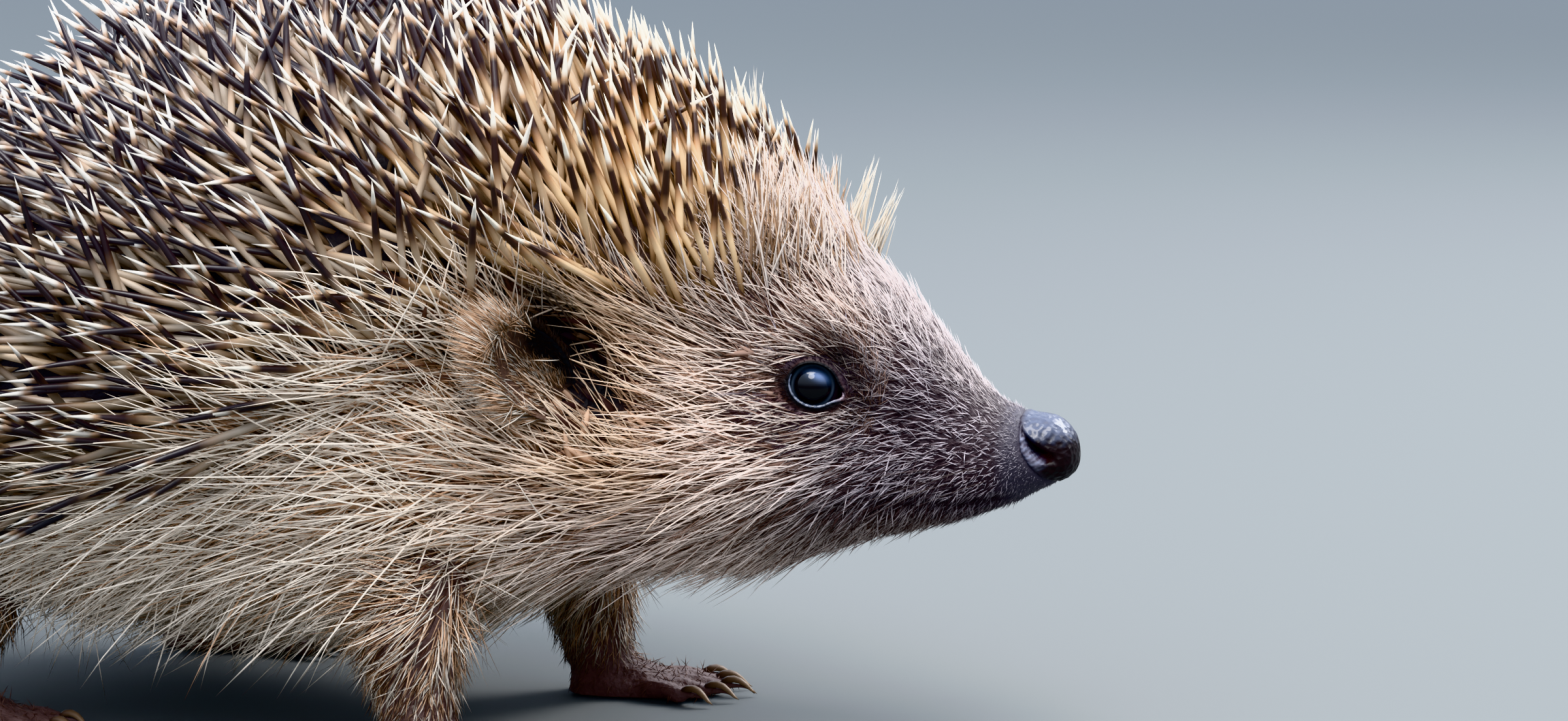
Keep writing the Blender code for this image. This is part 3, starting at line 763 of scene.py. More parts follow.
def build_body_skin(skin, material):
    """Head and body. The skin is sunk at the eyes, where the lids' own patch covers it."""
    points = skin.points.copy()
    for eye in eyes:
        height = (points - eye.centre) @ eye.out
        reach = np.linalg.norm(points - eye.centre - height[..., None] * eye.out, axis=-1)
        sink = 6.5 * smooth(reach, PATCH_RADIUS - 0.7, PATCH_RADIUS - 3.4) * (height > 0)
        points -= sink[..., None] * eye.out
    ends = [bent(s, 0.0, middle_height(s)) for s in (skin.s[0], skin.s[-1])]
    made = tube_object("skin_body", points, ends, material)
    s, _, z = skin.laid_out()
    colours = layered(
        np.broadcast_to(BODY_SKIN, points.shape),
        (smooth(s, 60, 20), UNDERFUR),
        (smooth(s, 30, 16), MUZZLE_SKIN),
        (by_eyes(skin.points, 1.5, -6.0, 4.0), MAUVE_SKIN),
        # dark marks on the lips and before the eyes, with painted shade in the ear hollows
        (darkness(s, z, skin.points), DARK_MUZZLE),
        (0.6 * smooth(s, 34, 24) * bump(z, mouth_height(s) - 0.5, 2.0), DARK_MUZZLE),
        (smooth(s, 9.0, 7.0), MUZZLE_RIM),
        # painted shade in the hollows before the ears
        (np.minimum(1.7 * ear_shade(skin.points), 1), BLACK_SKIN_AND_SHADE * 0.7),
    ).reshape(-1, 3)
    paint(made, np.concatenate([colours, colours[:1], colours[-1:]]))
    return made


def opening_edge(turn):
    """How far the lids' opening reaches from the eye's axis at each turn, without its corner."""
    return 1 / np.sqrt((np.cos(turn) / OPENING_LONG) ** 2 + (np.sin(turn) / OPENING_HIGH) ** 2)


def build_lids(skin, eye, material):
    """A patch round the eye: skin at its rim, a fold, then lids that follow the eyeball to the opening.

    Also gives the height of the lids' margin at each turn.
    """
    columns, rows = 112, 44
    turn = 2 * np.pi * np.arange(columns) / columns
    along, high = np.cos(turn), np.sin(turn)
    edge = opening_edge(turn) * (1 + CORNER * (bump(turn, 0.0, 0.26) + bump(turn, 2 * np.pi, 0.26)))
    t = np.linspace(0, 1, rows)[:, None] ** 1.5
    reach = edge + (PATCH_RADIUS - edge) * t
    flat = eye.place(reach * along, reach * high, np.zeros(1))
    tree = BVHTree.FromPolygons(
        [Vector(p) for p in skin.points.reshape(-1, 3)], grid_faces(len(skin.s), AROUND).tolist()
    )
    outer = (flat + eye.out * 20).reshape(-1, 3)
    surface = np.array([depth_to(tree, point, -eye.out, 20, 1.0, limit=30) for point in outer])
    surface = softened(surface.reshape(rows, columns), 2)
    hood = eye.radius + LID_THICKNESS
    lid = np.sqrt(np.maximum(hood**2 - reach**2, 0.0)) - 3 * np.maximum(reach - hood, 0)
    softness = 0.9
    top = np.maximum(surface, lid) + 0.25 * np.maximum(softness * 2 - np.abs(surface - lid), 0) ** 2 / (softness * 2)
    top -= (softness / 2) * smooth(reach, edge + 0.9, edge) * (lid > surface)
    top -= 0.16 * bump(reach, edge + 1.35, 0.3) * smooth(high, -0.6, 0.6)
    top += 0.05 * np.sin(reach * 7 + 2 * np.sin(3 * turn)) * bump(reach, edge + 2.2, 1.6)
    top = top + (surface + 0.05 - top) * smooth(t, 0.62, 0.9)
    top -= 0.3 * smooth(t, 0.95, 1.0)
    outer = flat + top[..., None] * eye.out
    inner = []
    for inward, drop in ((0.55, 1.4), (0.10, 0.62), (0.02, 0.30)):
        radius = np.maximum(edge - inward, 0.1)
        inner.append(eye.place(radius * along, radius * high, np.sqrt(np.maximum(hood**2 - edge**2, 0.5)) - drop))
    points = np.concatenate([np.array(inner), outer])
    made = grid_object(f"lids_{eye.label}", points, material, eye.side < 0)

    x, y, _ = eye.seen(points)
    distance = np.linalg.norm(points - eye.centre, axis=-1)
    beyond = np.concatenate([np.broadcast_to(edge, (len(inner), columns)), reach]) - edge
    colour = layered(
        np.broadcast_to(UNDERFUR, points.shape),
        (smooth(x, -2, 6), MUZZLE_SKIN),
        (bump(distance, 0, 5.6), LID_SKIN),
        (0.7 * bump(x, -3.6, 1.5) * bump(y, 0.2, 2.2), BLACK_SKIN_AND_SHADE),
        (smooth(y, -2.4, -4.0) * smooth(x, -6, -2) * smooth(distance, 8.6, 6.8), MAUVE_SKIN),
        (0.7 * bump(x, -4.2, 1.3) * bump(y, -3.4, 1.2), PINK_SKIN),
        (bump(beyond, 1.1, 0.7) * smooth(y, 0.2, 1.6), LID_FOLD),
        (bump(np.hypot((x - 2.2) / 1.3, y - 4.0), 0, 2.0), BLACK_SKIN_AND_SHADE),
        (smooth(beyond, 0.34 + 1.0 * smooth(y, 0.5, -1.2), 0.15), BLACK_SKIN_AND_SHADE * 0.6),
        (0.8 * bump(x, 3.45, 0.4) * bump(y, 0.05, 0.3), PINK_SKIN),
    )
    paint(made, colour.reshape(-1, 3))
    return made, (turn, (outer[0] - eye.centre) @ eye.out)


def remade(name, nodes, shrink, material, colour):
    """Copies of solids melted into one smooth body, drawn in by the coat's depth."""
    copies = []
    for node in nodes:
        copy = frame["nodes"][node].copy()
        copy.data = frame["nodes"][node].data.copy()
        copy.hide_render = copy.hide_viewport = False
        bpy.context.scene.collection.objects.link(copy)
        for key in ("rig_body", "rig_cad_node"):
            del copy[key]
        copy.parent = None
        copies.append(copy)
    made = joined(name, copies)
    for kind, settings in (
        ("DISPLACE", {"strength": MELT_GROWTH * MM, "mid_level": 0.0}),
        ("REMESH", {"mode": "VOXEL", "voxel_size": MELT_VOXEL * MM}),
        ("SMOOTH", {"factor": 0.5, "iterations": MELT_SMOOTHINGS}),
        ("DISPLACE", {"strength": -(shrink + MELT_GROWTH) * MM, "mid_level": 0.0}),
    ):
        modifier = made.modifiers.new(kind.lower(), kind)
        for key, value in settings.items():
            setattr(modifier, key, value)
    mesh = bpy.data.meshes.new_from_object(made.evaluated_get(bpy.context.evaluated_depsgraph_get()))
    bpy.data.objects.remove(made)
    mesh.materials.clear()
    mesh.materials.append(material)
    for layers in (mesh.uv_layers, mesh.color_attributes):
        for layer in list(layers):
            layers.remove(layer)
    mesh.shade_smooth()
    made = linked(name, mesh)
    paint(made, np.broadcast_to(colour, (len(mesh.vertices), 3)))
    return made


def sink_top(limb, side):
    """Draws the top of a limb in towards the body, so that the flank's hair closes over it."""
    points = points_of(limb)
    points[:, 1] -= side * 5.0 * smooth(points[:, 2], 15, 27)
    limb.data.vertices.foreach_set("co", (points * MM).astype(np.float32).ravel())
    limb.data.update()


def build_ear(label, side, material):
    """A cupped leaf with a rounded rim. Also gives its upward, facing and sideways directions and its middle layer."""
    up = turned((EAR_UP[0], side * EAR_UP[1], EAR_UP[2]), EAR_S)
    facing = turned((EAR_FACING[0], side * EAR_FACING[1], EAR_FACING[2]), EAR_S)
    facing = unit(facing - up * (up @ facing))
    across = np.cross(up, facing)
    base = bent(EAR_S, side * EAR_SIDE, EAR_HEIGHT) - up
    t = np.linspace(0, 1, 30)[:, None]
    u = np.linspace(-1, 1, 25)[None]
    half = (EAR_HALF_WIDTH - EAR_FUR) * np.maximum(0.2, np.sqrt(np.maximum(0, 1 - (1.75 * t - 0.75) ** 2)))
    cupped = EAR_CUP * 1.3 * (u * u - 1) * np.sin(np.pi * np.minimum(1, 0.25 + 0.7 * t))
    rumple = 0.12 * np.sin(9 * t + 3 * u) * (1 - u * u)
    length = (EAR_LENGTH + 1 - EAR_FUR) * t
    leaf = base + length[..., None] * up + (half * u)[..., None] * across + (cupped + rumple)[..., None] * facing
    thick = 0.28 + 0.30 * np.abs(u) ** 6 + 0.2 * t**6
    front = leaf + 0.5 * thick[..., None] * facing
    rear = leaf - 0.5 * thick[..., None] * facing
    points = np.concatenate([front, rear[:, ::-1]], 1)
    made = grid_object(f"ear_skin_{label}", points, material, side < 0)
    # painted shade in the hollow before the ear
    colour = layered(EAR_SKIN, (np.minimum(1.8 * ear_shade(points), 1), EAR_PAINTED_SHADE))
    paint(made, colour.reshape(-1, 3))
    return made, (up, facing, across, leaf)


# ---------------------------------------------------------------- eyes and nose


def build_eye(eye, material):
    polar = np.linspace(0.001, np.pi - 0.001, 72)[:, None]
    turn = (2 * np.pi * np.arange(96) / 96)[None]
    radius = eye.radius + 0.08 * smooth(polar, math.radians(60), math.radians(20))
    x, y = radius * np.sin(polar) * np.cos(turn), radius * np.sin(polar) * np.sin(turn)
    points = eye.place(x, y, radius * np.cos(polar))
    made = grid_object(f"eye_ball_{eye.label}", points, material, eye.side > 0)
    degrees = np.degrees(polar)
    colour = layered(
        np.broadcast_to(srgb(0.045, 0.03, 0.03), points.shape),
        # the next layer is a painted reflection of the sky on the upper part of the eye
        (0.75 * (bump(x, 0.3, 1.15) * bump(y, 1.2, 0.5) * (degrees < 80)), srgb(0.42, 0.50, 0.66)),  # sky's sheen
        (0.85 * bump(degrees, 45.0, 3.8), srgb(0.42, 0.45, 0.50)),  # iris ring
        (smooth(degrees, 49, 56), srgb(0.27, 0.23, 0.26)),  # white
    )
    paint(made, colour.reshape(-1, 3))
    fitted(made, "eye", f"eye_{eye.label}")


def build_tear_line(eye, material, margin):
    """The wet margin of the lower lid, from corner to corner. margin is the lid's height at each turn."""
    count, sides = 90, 8
    number = np.arange(count)
    turn = np.linspace(np.radians(-188), np.radians(8), count)
    edge = 0.97 * opening_edge(turn) * (1 + 0.9 * CORNER * bump(turn, 0.0, 0.26))
    depth = np.sqrt(np.maximum((eye.radius + 0.2) ** 2 - edge**2, 0.04))
    depth = np.maximum(depth, np.interp(turn, *margin, period=2 * np.pi) - 0.35)
    line = eye.place(edge * np.cos(turn), edge * np.sin(turn), depth)
    thick = 0.22 * np.sin(np.linspace(0.12, np.pi - 0.12, count)) ** 0.5 * (1 + 1.1 * bump(turn, -0.06, 0.16))
    thick = thick * (1 + 0.18 * np.sin(number * 1.7) * np.sin(number * 0.9))
    angles = 2 * np.pi * np.arange(sides) / sides
    inward = unit(eye.centre - line)
    sideways = np.cross(unit(np.gradient(line, axis=0)), inward)
    ring = np.cos(angles)[:, None] * sideways[:, None] + np.sin(angles)[:, None] * inward[:, None]
    points = line[:, None] + thick[:, None, None] * ring
    quads = grid_faces(count, sides)
    corners = np.concatenate([quads.ravel(), np.arange(sides), np.arange(sides) + (count - 1) * sides])
    sizes = np.append(np.full(len(quads), 4), [sides, sides])
    made = mesh_object(f"tear_line_{eye.label}", points.reshape(-1, 3), corners, sizes, material)
    # brightness along the margin: painted glints, and lighter at both corners
    glints = 0.55 + 0.35 * np.sin(number * 0.8) * np.sin(number * 0.37 + 1)
    glints = glints + 0.35 * bump(turn, 0.0, 0.35) + 0.35 * bump(turn, -2.9, 0.4)
    # pale blue-grey: painted sheen of the wet margin, pinkish at the front corner
    tone = layered(srgb(0.42, 0.44, 0.50), (bump(turn, 0.0, 0.25), srgb(0.58, 0.50, 0.53)))
    paint(made, np.repeat(glints[:, None] * tone, sides, 0))
    fitted(made, "eye")


def build_lid_hair(eye, lids, material):
    """Very short hairs round the eye, dark at its margin."""

    def keep(points):
        x, y, height = eye.seen(points)
        outside = ((x - 0.3) / (OPENING_LONG + 0.5)) ** 2 + (y / (OPENING_HIGH + 0.3)) ** 2 > 1
        return outside & (np.linalg.norm(points - eye.centre, axis=-1) < 8) & (height > 0)

    points, normals = surface_roots(lids, LID_HAIRS, keep)
    x, y, _ = eye.seen(points)
    away = unit(x[:, None] * eye.ahead + y[:, None] * eye.above)
    flow = away * 0.6 - eye.ahead * 0.8 + eye.above * 0.35 * np.sign(y)[:, None]
    reach = np.hypot(x / OPENING_LONG, y / OPENING_HIGH)
    length = np.interp(reach, (1.1, 1.5, 1.9, 2.6), (0.5, 0.85, 1.2, 2.2)) * (1 + 0.9 * smooth(x, -1.8, -3.6))
    dark = np.maximum.reduce([
        smooth(reach, 1.75, 1.25) * smooth(y, 1.0, -0.8),
        bump(np.hypot((x - 2.2) / 1.3, y - 4.0), 0, 2.1),
        0.95 * bump(x, 5.0, 2.2) * bump(y, 1.6, 2.4),
        0.8 * smooth(reach, 2.0, 1.5),
    ])
    tones = layered(MIDDLE_FACE, (smooth(y, -1.5, -3.5), srgb(0.45, 0.37, 0.39)))
    tones = mixed(len(points), 0.3, PALE_MUZZLE * 0.8, tones)
    fuzz = mixed(len(points), 0.4, srgb(0.46, 0.41, 0.44), LID_FOLD * 0.8)
    tones = layered(tones, (smooth(reach, 1.95, 1.7) * smooth(y, 0.2, 1.4), fuzz), (dark, DARK_MUZZLE))
    patch = np.stack([0.80 + 0.05 * (eye.side > 0) + 0.004 * x, 0.5 + 0.02 * y], 1)
    short_coat(f"hair_lids_{eye.label}", "muzzle_fur", material, points, normals, flow, length, 0.045, tones, patch)


def build_nose(material):
    """The bare pad: two nostrils with raised wings, a groove down the middle, and grain."""
    s = np.concatenate([np.linspace(0.12, 1.2, 20)[:-1], np.linspace(1.2, 6.9, 70)])
    angles = 2 * np.pi * np.arange(160) / 160
    radius = widest_of_neighbours(cast(tree_of(HEAD_NODES), s, angles))
    # the nostrils of the solid are filled here and carved finer below
    solid = bent(*on_rings(s, angles, radius))
    ahead, aside, height = SOLID_NOSTRIL
    middles = [bent(ahead, side * aside, height) for _, side in SIDES]
    holes = np.any([np.linalg.norm(solid - middle, axis=-1) < SOLID_NOSTRIL_SIZE for middle in middles], 0)
    radius = softened(filled_in(radius, holes, 400), 9)
    station, y, z = on_rings(s, angles, radius)
    side_face = smooth(np.abs(y), 1.2, 2.6)
    # along and across the nostril, a drop that narrows as it climbs backwards
    ahead, over = station - NOSTRIL_S, z - NOSTRIL_HEIGHT
    along, across = 0.68 * ahead + 0.73 * over, 0.73 * ahead - 0.68 * over
    across = across + 0.10 * along**2 - 0.2
    half_width = np.clip(0.78 - 0.22 * along, 0.26, 1.3)
    reach = np.hypot(along / NOSTRIL_HALF_LENGTH, across / half_width)
    # its rear wall carries a frill of fine folds, pale partly in its own tone and partly by painted sheen
    frill = smooth(across + 0.18 * along, 0.0, 0.35) * smooth(reach, 1.75, 1.35) * smooth(along, -2.7, -1.7)
    frill = frill * smooth(along, 2.7, 1.5)
    folds = 0.6 * np.sin(12.5 * along + 2.2 * np.sin(2.6 * across)) + 0.6 * np.sin(5.3 * along - 4.1 * across + 1)
    pit = smooth(reach, 1.15, 0.3) * (1 - 0.86 * frill)
    radius = radius - 3.4 * side_face * pit + side_face * frill * (0.16 + 0.05 * folds)
    arc = 4.2 * np.broadcast_to(angles, radius.shape)
    grain = sum(np.sin(a * arc + b * station + c) for a, b, c in NOSE_GRAIN) / len(NOSE_GRAIN)
    radius = radius + 0.08 * grain * (1 - pit) * smooth(station, 0.1, 1.5)
    radius -= 0.5 * bump(y, 0, 0.34) * smooth(z, 37.6, 35.5)
    gap = behind_pad(station, np.broadcast_to(np.sin(angles), radius.shape))
    radius -= 1.2 * smooth(gap, -1.0, 0.6)
    points = bent(*on_rings(s, angles, np.maximum(radius, 0.05)))
    made = tube_object("nose_pad", points, [bent(0.05, 0.0, middle_height(0.05))], material)
    colour = layered(
        np.broadcast_to(srgb(0.10, 0.06, 0.058), points.shape),
        # the top's blue-grey is a painted reflection of the sky on the wet leather
        (smooth(z + 0.8 * grain, 36.0, 38.0), srgb(0.25, 0.265, 0.34)),
        (smooth(gap, -1.5, -0.5) * (1 - 0.6 * smooth(z, 34.0, 32.0)), MUZZLE_RIM),
        # the nostril's walls are dark reddish-brown and its lining red; painted shade darkens them towards the bottom
        # of the pit
        (side_face * smooth(pit, 0.0, 0.3), srgb(0.15, 0.085, 0.08)),
        (side_face * smooth(pit, 0.3, 0.9), srgb(0.075, 0.03, 0.03)),
        (0.8 * side_face * smooth(pit, 0.2, 0.7) * bump(along, -1.5, 0.8), srgb(0.30, 0.07, 0.065)),
        # the frill: pale partly in its own tone and partly by painted sheen, with painted highlights on the crests of
        # its folds
        (0.85 * side_face * frill, srgb(0.33, 0.31, 0.36)),
        (0.6 * side_face * frill * smooth(folds, -0.6, 0.9), srgb(0.53, 0.54, 0.62)),
    )
    wet = 0.06 + 0.55 * smooth(z + 0.8 * grain, 35.9, 37.6) + 0.5 * side_face * frill
    wet = np.clip(wet - side_face * smooth(pit, 0.1, 0.6), 0, 1) * smooth(gap, -0.4, -1.6)
    paint(made, np.concatenate([colour.reshape(-1, 3), colour[0, :1]]))
    store(made, "wet", np.append(wet.ravel(), 0.4))
    fitted(made, "nose_leather", "nose")


# ---------------------------------------------------------------- coat


def directions(skin, rows, columns, flow, lift):
    """Unit directions and normals at the roots. In radians, flow turns from the tail upwards and lift off the skin."""
    back = skin.read(skin.back, rows, columns)
    normal = unit(skin.read(skin.normal, rows, columns))
    back = unit(back - normal * np.sum(back * normal, -1, keepdims=True))
    upward = np.cross(normal, back)
    upward *= np.where(upward[:, 2:] < 0, -1, 1)
    flow = flow * smooth(np.abs(leftward(columns)), 0.0, 0.45)
    flat = back * np.cos(flow)[:, None] + upward * np.sin(flow)[:, None]
    return unit(flat * np.cos(lift)[:, None] + normal * np.sin(lift)[:, None]), normal


def curved(points, first, last, length, steps):
    """Centre lines from the roots: each sets off along first and ends up heading along last."""
    t = steps[None, :, None]
    return points[:, None] + length[:, None, None] * (first[:, None] * (t - t * t / 2) + last[:, None] * t * t / 2)


def picked(pick, *parts):
    return [part[pick] for part in parts]


def spaced(skin, rows, columns, distances):
    """Keeps the places that stand clear of those kept before, each by its own distance."""
    points = skin.read(skin.points, rows, columns)
    cell = distances.max()
    near_by = [(a, b, c) for a in (-1, 0, 1) for b in (-1, 0, 1) for c in (-1, 0, 1)]
    kept, cells = [], {}
    for i, (point, distance) in enumerate(zip(points, distances)):
        x, y, z = (point // cell).astype(int)
        near = [cells.get((x + a, y + b, z + c), ()) for a, b, c in near_by]
        if all(((points[k] - point) ** 2).sum() > distance**2 for group in near for k in group):
            cells.setdefault((x, y, z), []).append(i)
            kept.append(i)
    return rows[kept], columns[kept]


def build_spines(skin, material):
    """Spines that stand clear of each other, each raised until its tip meets the solids' outer surface."""
    rows, columns = skin.scatter(SPINE_TRIES, skin.spines * along_steps(skin.s, (40, 2.5), (64, 1.0))[:, None])
    order = random.permutation(len(rows))
    rows, columns = rows[order], columns[order]
    rows, columns = spaced(skin, rows, columns, along_steps(skin.station(rows), *SPINE_SPACING))
    s, roots, z = skin.roots(rows, columns)
    count = len(s)
    flow = along_steps(s, *SPINE_FLOW)
    flow = flow - 12 * smooth(z, 58, 30) * smooth(s, 54, 66) + 20 * smooth(z, 60, 82) * smooth(s, 44, 56)
    steep = random.random(count) < 0.26
    spread = along_steps(s, (26, 14), (48, 15), (64, 20), (157, 22)) + 6 * smooth(z, 60, 72) * smooth(s, 44, 60)
    flow = flow + np.where(steep, 44, -3) * smooth(s, 38, 54) + spread * random.standard_normal(count)
    flow = np.radians(np.maximum(flow, along_steps(s, (38, 30), (50, 8), (60, -2), (82, -9))))
    length = SPINE_LENGTH * (1 + 0.07 * random.standard_normal(count))
    length *= along_steps(s, (28, 0.66), (34, 0.8), (48, 1.0), (140, 1.0), (157, 0.8))
    tree = tree_of(MANTLE_NODES)
    best, best_miss = np.full(count, 0.6), np.full(count, 1e9)
    for lift in np.radians([14, 19, 24, 30, 36, 42, 50, 58, 68]):
        ahead = directions(skin, rows, columns, flow, np.full(count, lift))[0]
        for i in range(count):
            # seen from outside, so that the solids' own inner faces aren't met
            miss = abs(depth_to(tree, roots[i] + ahead[i] * 45, -ahead[i], 45, 0.0) - length[i])
            if miss < best_miss[i]:
                best[i], best_miss[i] = lift, miss
    lift = best + np.radians(6) * random.standard_normal(count) + np.radians(5) * steep
    rebel = (random.random(count) < 0.06) & (s > 58) & (z > 56)
    flow = flow + rebel * np.radians(40) * random.standard_normal(count)
    first, normal = directions(skin, rows, columns, flow, lift)
    last = unit(first + 0.10 * random.standard_normal((count, 3)) - 0.06 * normal)
    centres = curved(roots - normal * 0.5, first, last, length, SPINE_STEPS)
    thick = SPINE_RADIUS * (1 + 0.09 * random.standard_normal(count))
    thick = thick * along_steps(s, (28, 0.64), (36, 0.84), (44, 0.98), (54, 1.06), (66, 1.0))
    # each spine's tint: red is its lightness, random and with painted shade, darker low on the sides and lighter on
    # top; green how amber it is
    light = varied(count, 0.15, 0.6, 1.35) * along_steps(z, (34, 0.54), (50, 0.72), (62, 1.02), (80, 1.2))
    amber = np.clip(smooth(s, 76, 42) + 0.25 * smooth(z, 60, 40) + 0.14 * random.standard_normal(count), 0, 1)
    tints = np.repeat(np.stack([light, amber, np.ones(count)], 1)[:, None], len(SPINE_STEPS), 1)
    whole = (centres, thick[:, None] * SPINE_PROFILE, sideways_to(first, normal), tints, skin.unwrap(rows, columns))
    crown, left = s < CROWN_END, leftward(columns) > 0
    along = np.append(np.repeat(SPINE_STEPS[:-1], SPINE_SIDES), 1.0)
    for name, node, pick in (("spines_crown", "crown", crown), ("spines_back_left", "back", ~crown & left),
                             ("spines_back_right", "back", ~crown & ~left)):
        made = strands(name, "spines", material, SPINE_SIDES, 1.0, *picked(pick, *whole))
        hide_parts(node)
        store(made, "along", np.tile(along, pick.sum()))
        store(made, "offset", np.repeat(0.035 * random.standard_normal(pick.sum()), len(along)))


def fur_fields(s, z, count, share):
    """How the fur lies at each root: flow and lift in radians, length in millimetres. share shortens it."""
    high, middle, low = (along_steps(s, *steps) for steps in (FLOW_HIGH, FLOW_MIDDLE, FLOW_LOW))
    flow = low + (middle - low) * smooth(z, 28, 37)
    flow = flow + (high - flow) * smooth(z, 43, 51)
    flow = np.radians(flow + along_steps(s, *FUR_SPREAD) * random.standard_normal(count))
    lift = along_steps(s, *FUR_LIFT) * (0.45 + 0.55 * share)
    lift = lift + 16 * smooth(s, 22, 27) * smooth(s, 40, 33) * smooth(z, 52, 58)
    lift = np.radians(lift * varied(count, 0.35, 0.2, 2))
    length = along_steps(s, *FUR_LENGTH) * (1 + 0.4 * smooth(z, 48, 56) * smooth(s, 20, 28) * smooth(s, 46, 36))
    length = length * (1 - 0.35 * smooth(z, 26, 14))
    return flow, lift, length * share * varied(count, 0.2, 0.5, 1.5)


def clear_of_eyes(centres):
    """False for strands that would cross an eye's opening."""
    free = np.ones(len(centres), bool)
    for eye in eyes:
        x, y, height = eye.seen(centres)
        inside = (x / (OPENING_LONG + 0.6)) ** 2 + (y / (OPENING_HIGH + 0.6)) ** 2 < 1
        free &= ~(inside & (height > 0)).any(1)
    return free


def fur_density(skin, steps):
    """Hairs per square millimetre of skin, by station. A few grow up between the lowest spines."""
    s = skin.s[:, None]
    up = np.sin(skin.angles)
    among = softened(skin.has_spines * 1.0, 22)
    open_fur = smooth(among, 0.72, 0.4) + 0.16 * smooth(among, 0.98, 0.6) * smooth(s, 50, 60)
    dense = along_steps(s, *steps) * np.minimum(open_fur, 1)
    dense = dense * (1 - 0.8 * by_eyes(skin.points, 2.2, -5.4, 3.6))
    dense = dense * (1 - 0.75 * by_eyes(skin.points, -4.8, -2.8, 1.9))
    dense = dense * smooth(behind_pad(s, up), -0.7, -0.2) * (1 + 0.8 * smooth(s, 8.0, 6.0))
    under = smooth(-up, 0.5, 0.85) * smooth(s, 60, 76)
    return dense * (1 - 0.35 * under) * (1 - 0.8 * ear_shade(skin.points))


def darkness(s, z, points):
    """How dark the coat is: 1 on the lips and before the eyes, and in the hollows before the ears, where it is painted
    shade.
    """
    dark = np.maximum.reduce([
        *(amount * by_eyes(points, *place) for *place, amount in EYE_STRIPE),
        0.40 * bump(s, 35, 9) * smooth(z, 44, 49) * smooth(z, 60, 54),
        0.5 * (smooth(s, 36, 26) * bump(z, mouth_height(s) - 1.0, 3.4)),
        # painted shade in the hollows before the ears
        1.5 * ear_shade(points),
    ])
    return np.clip(dark, 0, 1)


def coat_tone(s, z, points, kind):
    """The colour of the hair's outer half. kind is 0 for pale guard hairs, 1 for the middling ones, 2 for dark."""

    def of_kind(*tones):
        return np.array(tones)[kind]

    warm = bump(s, 46, 9) * smooth(z, 26, 34) * (kind < 2)
    jaw = 0.55 * smooth(z, mouth_height(s) + 1.5, mouth_height(s) - 2.5) * smooth(s, 9, 17) * smooth(s, 50, 40)
    ridge = smooth(z - along_steps(s, *BRIDGE_HEIGHT), -1.0, 3.0) * smooth(s, 44, 34)
    tone = layered(
        of_kind(PALE_HAIR, BROWN_HAIR, DARK_HAIR),
        (smooth(s, 62, 44), of_kind(PALE_FACE, MIDDLE_FACE, DARK_FACE)),
        (0.8 * warm, of_kind(WARM_HAIR, BROWN_HAIR, DARK_HAIR)),
        (smooth(s + 0.45 * (z - 38), 29, 17), of_kind(PALE_MUZZLE, MIDDLE_MUZZLE, DARK_MUZZLE)),
        (jaw, of_kind(PALE_FACE * 0.9, MIDDLE_FACE, DARK_FACE)),
        (0.85 * ridge, of_kind(BRIDGE_HAIR, BRIDGE_HAIR * 0.6, MIDDLE_MUZZLE)),
        (0.6 * smooth(s, 10.5, 6.0), MUZZLE_FUZZ),
        # dark marks, with painted shade in the ear hollows
        (0.96 * darkness(s, z, points), DARK_MUZZLE),
    )
    before_eye = np.maximum(by_eyes(points, 3.0, 3.1, 2.5), 0.85 * by_eyes(points, 5.6, 1.9, 3.0))
    return tone * (1 - 0.90 * before_eye)[:, None]


def grow(skin, material, name, density, share, kinds, thickness, steps, profile, sides):
    """Sows a layer of hairs over the skin and makes them into meshes, one to a region and side."""
    table = fur_density(skin, density)
    total = int((table * skin.cell_area)[:-1].sum())
    rows, columns = skin.scatter(total, table)
    s, roots, z = skin.roots(rows, columns)
    kind = random.choice(3, total, p=kinds)
    flow, lift, length = fur_fields(s, z, total, share * np.array([1.0, 0.85, 0.75])[kind])
    length *= 1 - 0.75 * ear_shade(roots)
    length *= 1 - 0.6 * by_eyes(roots, 0, 0, 4.4)
    length *= 1 - 0.45 * by_eyes(roots, 3.8, 3.0, 3.0)
    first, normal = directions(skin, rows, columns, flow, lift)
    sag = along_steps(s, (5, 0.0), (30, 0.08), (60, 0.16), (157, 0.22))[:, None] * np.array([0, 0, -1.0])
    last = unit(first * 0.95 + sag - 0.28 * normal + 0.10 * random.standard_normal((total, 3)))
    steps = np.array(steps)
    centres = curved(roots - normal * 0.2, first, last, length, steps)
    thick = along_steps(s, *thickness) * np.array([1.0, 0.9, 0.85])[kind] * varied(total, 0.2, 0.6, 1.6)
    tips = coat_tone(s, z, roots, kind) * varied((total, 1), 0.15, 0.5, 1.5)
    # each hair darkens towards its root and the underfur's tone: painted shade deep in the coat
    base = (0.6 * tips + 0.3 * UNDERFUR)[:, None]
    colours = base + smooth(steps, -0.1, 0.3)[None, :, None] * (tips[:, None] - base)
    path = curved(roots, first, last, length, np.linspace(0, 1, 9))
    crossed = smooth(ear_shade(path[:, 2:]).max(1), 0.22, 0.62) * (1 - ear_shade(roots))
    free = clear_of_eyes(path) & (random.random(total) > 0.97 * crossed)
    whole = (centres, thick[:, None] * np.array(profile), sideways_to(first, normal), colours,
             skin.unwrap(rows, columns))
    for region, low, high in FUR_REGIONS:
        for label, side in SIDES:
            pick = free & (s >= low) & (s < high) & ((leftward(columns) > 0) == (side > 0))
            if pick.any():
                slot = "muzzle_fur" if region == "face" else "fur"
                strands(f"{name}_{region}_{label}", slot, material, sides, 0.85, *picked(pick, *whole))


